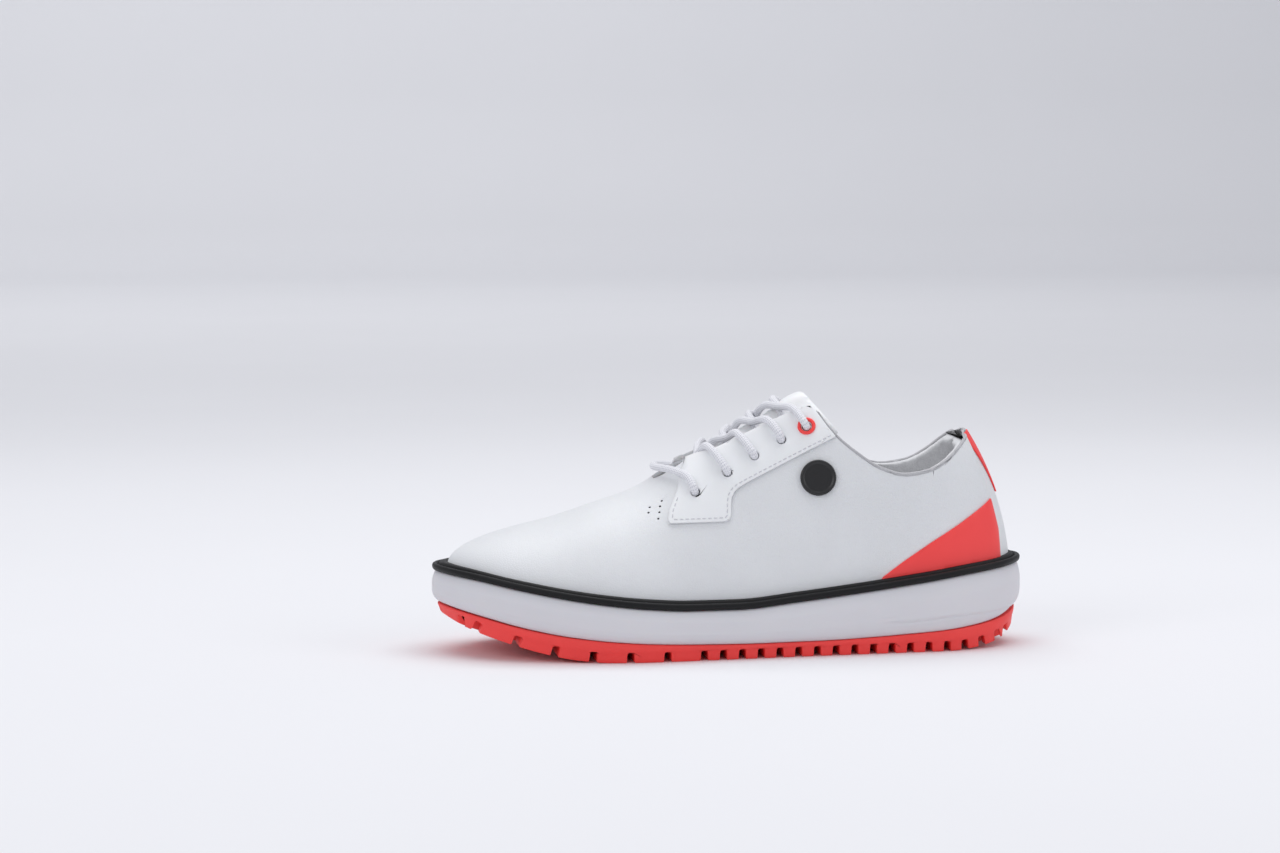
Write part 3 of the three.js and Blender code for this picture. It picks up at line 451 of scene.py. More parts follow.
material, shader, node, join = new_material("moulded_foam")
where = node("TexCoord")
skin = node("TexNoise", Scale=2600.0, Detail=3.0)
cloud = node("TexNoise", Scale=28.0, Detail=3.0)
join(where.outputs["Object"], skin.inputs["Vector"])
join(where.outputs["Object"], cloud.inputs["Vector"])
tint = node("ValToRGB")
tint.color_ramp.elements[0].color = (0.66, 0.65, 0.685, 1)
tint.color_ramp.elements[1].color = (0.71, 0.70, 0.73, 1)
join(cloud.outputs[0], tint.inputs[0])
join(tint.outputs[0], shader.inputs["Base Color"])
bump = node("Bump", Strength=0.18, Distance=0.0002)
join(skin.outputs[0], bump.inputs["Height"])
join(bump.outputs[0], shader.inputs["Normal"])
rough = node("MapRange", To_Min=0.5, To_Max=0.66)
join(cloud.outputs[0], rough.inputs["Value"])
join(rough.outputs[0], shader.inputs["Roughness"])
shader.inputs["Subsurface Weight"].default_value = 0.05
midsole.data.materials.append(material)
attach(midsole, "shoe")
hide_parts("midsole")

# ---- Rand --------------------------------------------------------------------------------------
# A black rubber strip cemented round the join of upper and midsole: a low bead at the rim, a
# groove, and a taller bead against the leather.

RAND_SECTION = [(1.5, 0), (0.75, 0.1), (0.3, 0.7), (0.12, 1.5), (0.15, 2.3), (0.5, 3), (1.05, 3.38), (1.7, 3.4),
                (2.3, 3.15), (2.65, 2.7), (2.85, 2.2), (3.0, 1.9), (3.2, 1.95), (3.35, 2.4), (3.5, 3.2),
                (3.9, 4.0), (4.6, 4.5), (5.4, 4.62), (6.4, 4.5), (9, 4.2), (11, 3.6), (11, 0)]
rand_rings = []
for inset, up in RAND_SECTION:
    ring = []
    for i in range(ROUND):
        p = edge_point(i / ROUND, inset / 1000)
        ring.append(lift(p, midsole_top(station(p.x)) + CLEARANCE + up / 1000))
    rand_rings.append(ring)
rand = loft("rand_strip", rand_rings, closed=True)

material, shader, node, join = new_material("black_rubber_strip")
where = node("TexCoord")
grain = node("TexNoise", Scale=1800.0, Detail=4.0)
join(where.outputs["Object"], grain.inputs["Vector"])
tint = node("ValToRGB")
tint.color_ramp.elements[0].color = (0.004, 0.004, 0.0045, 1)
tint.color_ramp.elements[1].color = (0.009, 0.009, 0.010, 1)
join(grain.outputs[0], tint.inputs[0])
join(tint.outputs[0], shader.inputs["Base Color"])
bump = node("Bump", Strength=0.22, Distance=0.00015)
join(grain.outputs[0], bump.inputs["Height"])
join(bump.outputs[0], shader.inputs["Normal"])
rough = node("MapRange", To_Min=0.42, To_Max=0.6)
join(grain.outputs[0], rough.inputs["Value"])
join(rough.outputs[0], shader.inputs["Roughness"])
shader.inputs["Specular IOR Level"].default_value = 0.25
rand.data.materials.append(material)
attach(rand, "shoe")
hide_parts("rand")

# ---- Outsole -----------------------------------------------------------------------------------
# Coral rubber, moulded in one piece: a thin plate under the foam and blocks cut by grooves, broad
# ones under the forefoot and narrow ones from the waist back, with three channels along it.

tread = along([(0, 22), (0.05, 15), (0.1, 10), (0.165, 4.6), (0.22, 1.4), (0.28, 0), (0.85, 0), (0.91, 1.4),
               (0.96, 5.5), (1, 13)])
LUG_DEPTH = 0.0048
PLATE = 0.0026


def plate_bottom(s):
    return min(tread(s) + LUG_DEPTH, midsole_bottom(s) - PLATE)


# The edge, from the ground up: (inset, share of the block's height, share of the plate's, and more mm).
SOLE_EDGE = [(4.2, 0, 0, 0), (3.9, 0.5, 0, 0), (3.6, 1, 0, 0), (3.2, 1, 0, 0.6), (2.9, 1, 0.6, 0), (2.9, 1, 1, 0)]
sole_rings = []
for inset, up_block, up_plate, more in SOLE_EDGE:
    ring = []
    for i in range(ROUND):
        p = edge_point(i / ROUND, inset / 1000)
        s = station(p.x)
        under, top = plate_bottom(s), midsole_bottom(s) - CLEARANCE
        ring.append(lift(p, tread(s) + (under - tread(s)) * up_block + (top - under) * up_plate + more / 1000))
    sole_rings.append(ring)
outsole = loft("outsole_rubber", sole_rings)


def prism(name, outline, low, high, lie="y"):
    """A block with a flat outline, given in side view (lie y) or in plan (lie z), as a cutter."""
    points = []
    for level in (low, high):
        for a, b in outline:
            points.append((a, level, b) if lie == "y" else (a, b, level))
    count = len(outline)
    faces = [tuple(range(count)), tuple(range(2 * count - 1, count - 1, -1))]
    for i in range(count):
        n = (i + 1) % count
        faces.append((i, count + i, count + n, n))
    return make_mesh(name, points, faces, smooth=False)


def carve(piece, cutter, way="DIFFERENCE"):
    """Cuts a piece with another by a boolean, and applies it."""
    cut = piece.modifiers.new("cut", "BOOLEAN")
    cut.operation = way
    cut.object = cutter
    cut.solver = "MANIFOLD"
    bpy.ops.object.select_all(action="DESELECT")
    bpy.context.view_layer.objects.active = piece
    piece.select_set(True)
    bpy.ops.object.modifier_apply(modifier=cut.name)
    bpy.data.objects.remove(cutter)


def tidy_edges(piece, width, angle=35, segments=2, merge=0.00012):
    """Merges slivers, rounds the sharp edges and shades the rest smooth."""
    bpy.ops.object.select_all(action="DESELECT")
    bpy.context.view_layer.objects.active = piece
    piece.select_set(True)
    bpy.ops.object.mode_set(mode="EDIT")
    bpy.ops.mesh.select_all(action="SELECT")
    bpy.ops.mesh.remove_doubles(threshold=merge)
    bpy.ops.mesh.dissolve_degenerate(threshold=0.00005)
    bpy.ops.mesh.select_all(action="DESELECT")
    bpy.ops.object.mode_set(mode="OBJECT")
    if width:
        edge = piece.modifiers.new("round", "BEVEL")
        edge.width = width
        edge.segments = segments
        edge.limit_method = "ANGLE"
        edge.angle_limit = math.radians(angle)
        edge.use_clamp_overlap = False
        edge.harden_normals = False
        bpy.ops.object.modifier_apply(modifier=edge.name)
    bpy.ops.object.shade_smooth_by_angle(angle=math.radians(50))


crown_y = along([(0.15, 8), (0.4, 4.5), (0.6, 3), (0.85, 1)])


# One groove across the tread, as (along the shoe, up) from the tread's own level.
GROOVE_SECTION = [(-0.0022, -0.0048), (0.0022, -0.0048), (0.0017, 0.0046), (0.0009, 0.0050), (-0.0009, 0.0050),
                  (-0.0017, 0.0046)]
FOREFOOT_PITCH, HEEL_PITCH = 0.0186, 0.0097
TREAD_FRONT, FOREFOOT_END, TREAD_END = -0.132, -0.022, 0.143
CHANNELS = (-0.23, -0.03, 0.17)
CHANNEL_HALF = 0.002


def channel_y(share, x):
    narrowing = 1 - 0.28 * smooth_step(x / (0.3 * SOLE_LENGTH))
    return share * SOLE_WIDTH * narrowing + crown_y(station(x)) + MIDDLE_Y


def groove(x, start, end):
    s = station(x)
    slope = math.atan((tread(s + 0.01) - tread(s - 0.01)) / (0.02 * SOLE_LENGTH))
    corners = []
    for a, b in GROOVE_SECTION:
        corners.append((x + a * math.cos(slope) - b * math.sin(slope),
                        tread(s) + a * math.sin(slope) + b * math.cos(slope)))
    carve(outsole, prism("groove", corners, start, end))


x = TREAD_FRONT
while x < TREAD_END:
    pitch = FOREFOOT_PITCH if x < FOREFOOT_END else HEEL_PITCH
    behind = x + pitch / 2
    groove(x, -0.1, channel_y(CHANNELS[0], x))
    groove(x, channel_y(CHANNELS[2], x), 0.1)
    if behind < TREAD_END:
        groove(behind, channel_y(CHANNELS[0], behind), channel_y(CHANNELS[2], behind))
    x += pitch
for share in CHANNELS:
    xs = [(k / 24 - 0.5) * 1.06 * SOLE_LENGTH for k in range(25)]
    plan = [(x, channel_y(share, x) - CHANNEL_HALF) for x in xs]
    plan += [(x, channel_y(share, x) + CHANNEL_HALF) for x in reversed(xs)]
    channel = prism("channel", plan, -0.02, 0.06, lie="z")
    low = [((k / 40 - 0.5) * 1.1 * SOLE_LENGTH, plate_bottom(k / 40 * 1.1 - 0.05)) for k in range(41)]
    roof = prism("roof", [(low[0][0], -0.05)] + low + [(low[-1][0], -0.05)], -0.1, 0.1)
    carve(channel, roof, "INTERSECT")
    carve(outsole, channel)
tidy_edges(outsole, 0.0005, angle=40, merge=0.00008)

material, shader, node, join = new_material("coral_rubber_sole")
where = node("TexCoord")
grain = node("TexNoise", Scale=1500.0, Detail=4.0)
cloud = node("TexNoise", Scale=40.0, Detail=2.0)
join(where.outputs["Object"], grain.inputs["Vector"])
join(where.outputs["Object"], cloud.inputs["Vector"])
tint = node("ValToRGB")
tint.color_ramp.elements[0].color = (0.92, 0.048, 0.044, 1)
tint.color_ramp.elements[1].color = (1.0, 0.062, 0.056, 1)
join(cloud.outputs[0], tint.inputs[0])
join(tint.outputs[0], shader.inputs["Base Color"])
bump = node("Bump", Strength=0.2, Distance=0.0002)
join(grain.outputs[0], bump.inputs["Height"])
join(bump.outputs[0], shader.inputs["Normal"])
rough = node("MapRange", To_Min=0.45, To_Max=0.62)
join(grain.outputs[0], rough.inputs["Value"])
join(rough.outputs[0], shader.inputs["Roughness"])
shader.inputs["Subsurface Weight"].default_value = 0.08
outsole.data.materials.clear()
outsole.data.materials.append(material)
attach(outsole, "shoe")
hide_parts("outsole")

# ---- Upper -------------------------------------------------------------------------------------
# White full-grain leather, 1.6 mm thick, pulled over a last and folded in under the foot. The
# throat and the collar are cut out of it, with five eyelets and a small group of vent holes a side.

foot = along([(0, 33), (0.1, 29), (0.2, 25), (0.3, 22.2), (0.43, 21.2), (0.6, 23), (0.73, 26.5), (0.86, 30),
              (1, 32)])
ledge = along([(0, 7.5), (0.15, 6.4), (0.85, 6.2), (1, 5.4)])
crown = along([(0.16, 63.5), (0.215, 67.8), (0.28, 74.5), (0.33, 79.8), (0.37, 86.5), (0.43, 103), (0.5, 119.5),
               (0.56, 130), (0.6, 134.5), (0.66, 138), (0.82, 141)])
width_power = along([(0.02, 3), (0.09, 2.4), (0.17, 2.1), (0.3, 1.9), (0.37, 1.8), (0.43, 1.72), (0.5, 1.72),
                     (0.56, 1.8), (0.62, 2), (0.67, 2.3), (0.78, 2.8), (0.87, 2.6), (0.93, 1.8), (0.965, 1.2)], 1)
height_power = along([(0.02, 4.6), (0.09, 3), (0.17, 2.3), (0.3, 1.9), (0.37, 1.8), (0.43, 1.72), (0.5, 1.72),
                      (0.56, 1.8), (0.62, 2), (0.67, 2.3), (0.78, 2.8), (0.87, 2.6), (0.93, 2.2), (0.965, 1.8)], 1)
CROWN_FRONT, CROWN_BACK = -0.1, 0.092
feather_line = {}


def feather(u):
    key = round(u % 1, 9)
    if key not in feather_line:
        feather_line[key] = edge_point(u, ledge(station(edge_point(u, 0).x)))
    return feather_line[key]


def last_point(u, angle):
    """A place on the outside of the leather: u runs round the foot, angle from sole to crown."""
    base, pair = feather(u), feather(1 - u)
    toe, heel = feather(0).x, feather(0.5).x
    top_x = CROWN_FRONT + ((base.x + pair.x) / 2 - toe) / (heel - toe) * (CROWN_BACK - CROWN_FRONT)
    s, top_s = station(base.x), station(top_x)
    climb = (crown(top_s + 1e-3) - crown(top_s - 1e-3)) / (2e-3 * SOLE_LENGTH)
    tilt = climb * (top_x - base.x)
    inward = 1 - max(math.cos(angle), 0) ** (2 / width_power(s))
    up = math.sin(angle) ** (2 / height_power(s))
    out = 0.0016 * math.sin(2 * angle)
    way = Vector((base.x - top_x, base.y - crown_y(top_s))).normalized()
    return Vector((base.x + (top_x - base.x) * inward + way.x * out,
                   base.y + (crown_y(top_s) - base.y) * inward + way.y * out,
                   foot(s) + (crown(top_s) - foot(s) - tilt) * up + tilt * inward))


RINGS = 48
last_grid = []
for j in range(RINGS + 1):
    angle = math.pi / 2 * (j / RINGS) ** 1.25
    last_grid.append([last_point(i / ROUND, angle) for i in range(ROUND)])
last_normals = []
for j in range(RINGS + 1):
    row = []
    for i in range(ROUND):
        if j == RINGS:
            near = min(max(min(i, ROUND - i), 1), ROUND // 2 - 1)
            run = last_grid[j][near + 1] - last_grid[j][near - 1]
            row.append(Vector((-run.z, 0, run.x)).normalized())
        else:
            run = last_grid[j][(i + 1) % ROUND] - last_grid[j][i - 1]
            rise = last_grid[min(j + 1, RINGS)][i] - last_grid[max(j - 1, 0)][i]
            row.append(run.cross(rise).normalized())
    last_normals.append(row)
for row in last_grid:
    for p in row:
        p.y += MIDDLE_Y


def layer_shell(name, outer, inner):
    """A closed shell between two distances from the last, each a number or a rule of place."""
    rings = []
    for grow, order in ((inner, range(RINGS, -1, -1)), (outer, range(RINGS + 1))):
        for j in order:
            ring = []
            for i in range(ROUND):
                p = last_grid[j][i]
                depth = grow(p) if callable(grow) else grow
                ring.append(p + last_normals[j][i] * depth)
            rings.append(ring)
    count = ROUND
    faces = []
    for j in range(len(rings) - 1):
        for i in range(count):
            n = (i + 1) % count
            faces.append((j * count + i, j * count + n, (j + 1) * count + n, (j + 1) * count + i))
    return make_mesh(name, [p for ring in rings for p in ring], faces)


throat_outer = along([(0.37, 5), (0.385, 9.5), (0.43, 15.5), (0.47, 20.5), (0.53, 21.5), (0.6, 22.6),
                      (0.66, 26), (0.76, 31)])
throat_inner = along([(0.37, 4), (0.385, 8.5), (0.43, 15), (0.47, 16.8), (0.53, 17), (0.6, 17.5),
                      (0.66, 19.5), (0.76, 24)])
collar = along([(0.55, 150), (0.61, 131), (0.662, 109), (0.699, 99.5), (0.735, 92.4), (0.778, 88.8), (0.82, 90.6),
                (0.851, 95.4), (0.882, 103.4), (0.902, 108.6), (0.95, 113)])


THROAT_FRONT, THROAT_BACK = -0.039, 0.078


def cut_throat(piece):
    xs = [THROAT_FRONT + (THROAT_BACK - THROAT_FRONT) * (k / 30) ** 1.6 for k in range(31)]
    left_side = [(x, crown_y(station(x)) - throat_outer(station(x)) + MIDDLE_Y) for x in xs]
    right_side = [(x, crown_y(station(x)) + throat_inner(station(x)) + MIDDLE_Y) for x in xs]
    carve(piece, prism("throat", left_side + right_side[::-1], 0.038, 0.26, lie="z"))


def cut_above(piece, height, raised=0.0):
    xs = [(k / 90 * 1.12 - 0.56) * SOLE_LENGTH for k in range(91)]
    low = [(x, height(station(x)) + raised) for x in xs]
    carve(piece, prism("sky", low + [(xs[-1], 0.3), (xs[0], 0.3)], -0.12, 0.12))


def cut_below(piece, height, raised=0.0):
    xs = [(k / 60 * 1.12 - 0.56) * SOLE_LENGTH for k in range(61)]
    low = [(x, height(station(x)) + raised) for x in xs]
    carve(piece, prism("ground", low + [(xs[-1], -0.05), (xs[0], -0.05)], -0.12, 0.12))


EYELETS = {
    "lateral": [((-21.7, -27.5, 81.1), (-.247, -.786, .567)), ((-5.4, -26.1, 90.7), (-.203, -.837, .509)),
                ((8.5, -24.7, 98.9), (-.223, -.857, .465)), ((22.3, -24.1, 106.8), (-.224, -.874, .431)),
                ((35, -24.3, 113.3), (-.245, -.882, .404))],
    "medial": [((-21.7, 27.7, 81.1), (-.129, .879, .459)), ((-5.4, 25.5, 90.7), (-.09, .913, .397)),
               ((8.5, 23.5, 98.9), (-.109, .929, .355)), ((22.3, 22.3, 106.8), (-.131, .938, .321)),
               ((35, 22.2, 113.3), (-.186, .938, .294))],
}


def eyelet_frames(side):
    for place, way in EYELETS[side]:
        yield Vector(place) / 1000 + Vector((0, MIDDLE_Y, 0)), Vector(way).normalized()


def peg(place, way, diameter, length, sides=24):
    """A round cutter standing on a spot and pointing along the surface's own direction."""
    bpy.ops.mesh.primitive_cylinder_add(vertices=sides, radius=diameter / 2, depth=length)
    made = bpy.context.object
    made.data.transform(Matrix.Translation(place) @ way.to_track_quat("Z", "Y").to_matrix().to_4x4())
    return made


def drill_eyelets(piece, side, diameter):
    for place, way in eyelet_frames(side):
        carve(piece, peg(place, way, diameter, 0.03))


# Painted shade: the walls of the shallow vent holes are coloured dark grey to stand in for the shade inside them.
material, shader, node, join = new_material("hole_dark")
shader.inputs["Roughness"].default_value = 0.9
where = node("TexCoord")
fuzz = node("TexNoise", Scale=3000.0)
join(where.outputs["Object"], fuzz.inputs["Vector"])
tint = node("ValToRGB")
tint.color_ramp.elements[0].color = (0.13, 0.13, 0.14, 1)
tint.color_ramp.elements[1].color = (0.22, 0.22, 0.23, 1)
join(fuzz.outputs[0], tint.inputs[0])
join(tint.outputs[0], shader.inputs["Base Color"])
hole_dark = material


def leather(name, deep, pale, grain_depth, rough_low, rough_high):
    """Coated leather: fine irregular cells, a slow change of tone, and soft creases."""
    material, shader, node, join = new_material(name)
    where = node("TexCoord")
    cells = node("TexVoronoi", Scale=820.0, _feature="DISTANCE_TO_EDGE")
    warp = node("TexNoise", Scale=500.0, Detail=4.0)
    cloud = node("TexNoise", Scale=16.0, Detail=4.0)
    crease = node("TexNoise", Scale=110.0, Detail=5.0, Distortion=0.8)
    for texture in (cells, warp, cloud, crease):
        join(where.outputs["Object"], texture.inputs["Vector"])
    tint = node("ValToRGB")
    tint.color_ramp.elements[0].color = deep
    tint.color_ramp.elements[0].position = 0.3
    tint.color_ramp.elements[1].color = pale
    tint.color_ramp.elements[1].position = 0.7
    join(cloud.outputs[0], tint.inputs[0])
    join(tint.outputs[0], shader.inputs["Base Color"])
    cell_height = node("MapRange", From_Max=0.16)
    join(cells.outputs["Distance"], cell_height.inputs["Value"])
    fine = node("Bump", Strength=grain_depth, Distance=0.00012)
    join(cell_height.outputs[0], fine.inputs["Height"])
    broad = node("Bump", Strength=0.1, Distance=0.0005)
    join(crease.outputs[0], broad.inputs["Height"])
    join(fine.outputs[0], broad.inputs["Normal"])
    soft = node("Bump", Strength=0.12, Distance=0.0002)
    join(warp.outputs[0], soft.inputs["Height"])
    join(broad.outputs[0], soft.inputs["Normal"])
    join(soft.outputs[0], shader.inputs["Normal"])
    rough = node("MapRange", To_Min=rough_low, To_Max=rough_high)
    join(cloud.outputs[0], rough.inputs["Value"])
    join(rough.outputs[0], shader.inputs["Roughness"])
    shader.inputs["Subsurface Weight"].default_value = 0.03
    return material


grained_leather = leather("grained_white_leather", (0.735, 0.74, 0.755, 1), (0.79, 0.795, 0.81, 1), 0.42, 0.36, 0.5)

upper = layer_shell("upper_leather", 0.0, -0.0016)
upper.data.materials.append(grained_leather)
upper.data.materials.append(hole_dark)
cut_above(upper, collar)
cut_throat(upper)
for side in EYELETS:
    drill_eyelets(upper, side, 0.0054)
VENTS = [(-38.2, 77.2), (-39.4, 74.7), (-40.1, 72), (-41, 69.1), (-44.3, 74.1), (-45.3, 71.7)]


def on_skin(piece, x, z, sign):
    """The spot on one side of a piece at a place in side view, and the way it faces."""
    start = Vector((x, sign * 0.12, z))
    hit, place, way, _ = piece.ray_cast(start, Vector((0, -sign, 0)))
    return (place, way) if hit else None


vent_pegs = []
for sign in (-1, 1):
    for x, z in VENTS:
        found = on_skin(upper, x / 1000, z / 1000, sign)
        if found:
            vent_pegs.append(found)
# Each cutter carries the painted shade onto the walls of the hole it leaves.
for place, way in vent_pegs:
    cutter = peg(place, way, 0.001, 0.0024, sides=12)
    cutter.data.materials.append(hole_dark)
    carve(upper, cutter)
tidy_edges(upper, 0.0003, angle=45)
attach(upper, "shoe")
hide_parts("upper")

# ---- Vamp and quarter reinforcements -----------------------------------------------------------
# Stiff sheets glued between leather and lining: a puff that keeps the toe round, a counter that
# cups the heel, and a facing behind each row of eyelets.

material, shader, node, join = new_material("stiffener_sheet")
where = node("TexCoord")
felt = node("TexNoise", Scale=700.0, Detail=6.0)
join(where.outputs["Object"], felt.inputs["Vector"])
tint = node("ValToRGB")
tint.color_ramp.elements[0].color = (0.50, 0.47, 0.38, 1)
tint.color_ramp.elements[1].color = (0.72, 0.69, 0.60, 1)
join(felt.outputs[0], tint.inputs[0])
join(tint.outputs[0], shader.inputs["Base Color"])
bump = node("Bump", Strength=0.4, Distance=0.0002)
join(felt.outputs[0], bump.inputs["Height"])
join(bump.outputs[0], shader.inputs["Normal"])
shader.inputs["Roughness"].default_value = 0.9
stiffener_sheet = material


def bed(s):
    return foot(s) + 0.0042


def keep_beside(piece, x, behind):
    """Keeps only what lies in front of, or behind, a place along the shoe."""
    low, high = (-0.3, x) if behind else (x, 0.3)
    carve(piece, prism("beside", [(low, -0.1), (high, -0.1), (high, 0.3), (low, 0.3)], -0.12, 0.12))


toe_puff = layer_shell("toe_puff_sheet", -0.0019, -0.0029)
cut_below(toe_puff, bed)
keep_beside(toe_puff, -0.096, False)
heel_counter = layer_shell("heel_counter_sheet", -0.0019, -0.0029)
cut_below(heel_counter, bed)
cut_above(heel_counter, collar, -0.0303)
keep_beside(heel_counter, 0.062, True)
for piece, hidden in ((toe_puff, "toe_puff"), (heel_counter, "heel_counter")):
    tidy_edges(piece, 0)
    piece.data.materials.clear()
    piece.data.materials.append(stiffener_sheet)
    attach(piece, "shoe")
    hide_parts(hidden)

EYESTAY = [(-36.2, 67.3), (-35.2, 67.1), (-9.2, 67.9), (-7.4, 68.2), (-6.2, 69), (-5.5, 70.4), (-5.3, 72), (-5, 77),
           (-4.4, 79.6), (-3, 82), (-0.8, 84.1), (4, 86.8), (60, 114.5), (60, 160), (-24, 160), (-24, 100),
           (-31, 81.5), (-35.5, 73), (-36.6, 69)]


def keep_eyestay(piece, sign, inset=0.0):
    outline = [(x / 1000, z / 1000 + (inset if i < 13 else 0)) for i, (x, z) in enumerate(EYESTAY)]
    low, high = (-0.12, 0.004) if sign < 0 else (0.004, 0.12)
    carve(piece, prism("eyestay_cut", outline, low, high), "INTERSECT")


for side, sign in (("lateral", -1), ("medial", 1)):
    facing = layer_shell("eyelet_facing_" + side + "_sheet", -0.0019, -0.0029)
    cut_above(facing, collar)
    cut_throat(facing)
    keep_eyestay(facing, sign, 0.002)
    keep_beside(facing, 0.051, False)
    drill_eyelets(facing, side, 0.0076)
    tidy_edges(facing, 0)
    facing.data.materials.clear()
    facing.data.materials.append(stiffener_sheet)
    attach(facing, "shoe")
    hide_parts("eyelet_facing_" + side)

# ---- Eyestays ----------------------------------------------------------------------------------
# A smoother, whiter leather overlay on each side of the throat, with a rolled edge and a row of
# thread stitches just inside it. The eyelets are punched through it.

smooth_leather = leather("smooth_white_leather", (0.84, 0.845, 0.855, 1), (0.89, 0.895, 0.905, 1), 0.12, 0.3, 0.42)
eyestays = {}
for side, sign in (("lateral", -1), ("medial", 1)):
    stay = layer_shell("eyestay_" + side + "_leather", 0.0016, 0.0001)
    cut_above(stay, collar)
    cut_throat(stay)
    keep_eyestay(stay, sign)
    drill_eyelets(stay, side, 0.0047)
    tidy_edges(stay, 0.0006, angle=50, segments=3)
    stay.data.materials.clear()
    stay.data.materials.append(smooth_leather)
    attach(stay, "shoe")
    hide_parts("eyestay_" + side)
    eyestays[side] = stay

# ---- Stitching ---------------------------------------------------------------------------------
# Lockstitch in polyester thread, about three to the centimetre, pulled down into the leather.


# One stitch from end to end: (share of its half length, share of its thickness, how far up it lies).
STITCH_RINGS = [(-1, 0.35, -0.5), (-0.72, 0.85, 0.0), (0, 1, 0.25), (0.72, 0.85, 0.0), (1, 0.35, -0.5)]


def stitch_row(name, piece, line, sign, pitch, length, thickness, finish):
    """Small rounded stitches laid on a piece along a line given in side view, in millimetres."""
    corners = [Vector((x / 1000, 0, z / 1000)) for x, z in line]
    lengths = [(b - a).length for a, b in zip(corners, corners[1:])]

    def at(distance):
        for a, b, run in zip(corners, corners[1:], lengths):
            if distance <= run:
                return a.lerp(b, distance / run)
            distance -= run
        return corners[-1]

    points, faces = [], []
    distance = 0.0006
    while distance + length < sum(lengths):
        marks = [at(distance + part * length) for part in (0, 0.5, 1)]
        ends = [on_skin(piece, mark.x, mark.z, sign) for mark in marks]
        distance += pitch
        if not all(ends) or (ends[0][0] - ends[2][0]).length > 1.7 * length:
            continue
        run = (ends[2][0] - ends[0][0]).normalized()
        up = (ends[1][1] - run * run.dot(ends[1][1])).normalized()
        across = run.cross(up)
        centre = ends[1][0]
        half = (ends[2][0] - ends[0][0]).length / 2
        start = len(points)
        for reach, girth, raised in STITCH_RINGS:
            for k in range(6):
                turn = math.pi * k / 3
                points.append(centre + run * half * reach + across * thickness / 2 * girth * math.cos(turn)
                              + up * thickness / 2 * (girth * math.sin(turn) + raised))
        for ring in range(4):
            for k in range(6):
                n = (k + 1) % 6
                low = start + ring * 6
                faces.append((low + k, low + n, low + 6 + n, low + 6 + k))
        faces.append(tuple(start + k for k in range(6)))
        faces.append(tuple(start + 24 + k for k in range(5, -1, -1)))
    made = make_mesh(name, points, faces)
    made.data.materials.append(finish)
    return made


def thread(name, deep, pale):
    material, shader, node, join = new_material(name)
    where = node("TexCoord")
    twist = node("TexWave", Scale=900.0, _bands_direction="DIAGONAL")
    join(where.outputs["Object"], twist.inputs["Vector"])
    # Painted shade: the colour follows the twist's bands, darker in the grooves and paler on the plies, as the bump
    # does.
    tint = node("ValToRGB")
    tint.color_ramp.elements[0].color = deep
    tint.color_ramp.elements[1].color = pale
    join(twist.outputs["Fac"], tint.inputs[0])
    join(tint.outputs[0], shader.inputs["Base Color"])
    bump = node("Bump", Strength=0.5, Distance=0.0001)
    join(twist.outputs["Fac"], bump.inputs["Height"])
    join(bump.outputs[0], shader.inputs["Normal"])
    shader.inputs["Roughness"].default_value = 0.6
    shader.inputs["Sheen Weight"].default_value = 0.2
    return material


# The deep tone is the painted shade in the thread's grooves.
white_thread = thread("white_thread", (0.56, 0.565, 0.60, 1), (0.72, 0.725, 0.76, 1))
SEAM_LINE = [(-30.5, 80), (-34, 72.5), (-34.4, 69.6), (-33.2, 69.1), (-9, 69.9), (-7.6, 70.6), (-7.2, 72.4),
             (-6.9, 77.6), (-6, 80.9), (-4.2, 83.6), (-1.6, 85.7), (3.2, 88.3), (50.5, 111.7)]
for side, sign in (("lateral", -1), ("medial", 1)):
    row = stitch_row("eyestay_stitches_" + side, eyestays[side], SEAM_LINE, sign, 0.0028, 0.0021, 0.0006,
                     white_thread)
    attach(row, "shoe")

# ---- Heel panels and tab -----------------------------------------------------------------------
# Thin coral leather: a triangle on each side of the heel that runs down behind the rand, and a
# narrow tab up the back seam.

coral_leather = leather("coral_leather", (0.96, 0.050, 0.050, 1), (1.0, 0.066, 0.064, 1), 0.12, 0.36, 0.5)
PANEL = [(60, 20), (136.3, 20), (136.6, 45), (135.6, 60), (131.6, 74.8), (131, 75.6), (130.2, 75.2), (122, 70.2),
         (113, 64.6), (105, 59.9), (97, 55.2), (89, 50.1), (82, 45.6), (72, 38.6)]
panels = {}
for side, sign in (("lateral", -1), ("medial", 1)):
    panel = layer_shell("heel_panel_" + side + "_leather", 0.0008, 0.0001)
    outline = [(x / 1000, z / 1000) for x, z in PANEL]
    low, high = (-0.12, 0.0) if sign < 0 else (0.0, 0.12)
    carve(panel, prism("panel_cut", outline, low, high), "INTERSECT")
    cut_below(panel, midsole_top, 0.0042)
    tidy_edges(panel, 0.0003, angle=50)
    panel.data.materials.clear()
    panel.data.materials.append(coral_leather)
    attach(panel, "shoe")
    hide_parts("heel_panel_" + side)
    panels[side] = panel

tab = layer_shell("heel_tab_leather", 0.0009, 0.0001)
TAB = [(-2.2, 77), (2.2, 77), (3.5, 78.2), (6.4, 92), (10.6, 116), (10.6, 130), (-10.6, 130), (-10.6, 116), (-6.4, 92),
       (-3.5, 78.2)]
points = [(x, (y + 1.08) / 1000 + MIDDLE_Y, z / 1000) for x in (0.1, 0.2) for y, z in TAB]
count = len(TAB)
faces = [tuple(range(count)), tuple(range(2 * count - 1, count - 1, -1))]
faces += [(i, count + i, count + (i + 1) % count, (i + 1) % count) for i in range(count)]
carve(tab, make_mesh("tab_cut", points, faces, smooth=False), "INTERSECT")
cut_above(tab, collar)
tidy_edges(tab, 0.0003, angle=50)
tab.data.materials.clear()
tab.data.materials.append(coral_leather)
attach(tab, "shoe")
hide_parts("heel_tab")

# ---- Badge -------------------------------------------------------------------------------------
# A plain black disc with a raised rim and a shallow dome, moulded in plastic and pinned through
# the outer side of the leather.

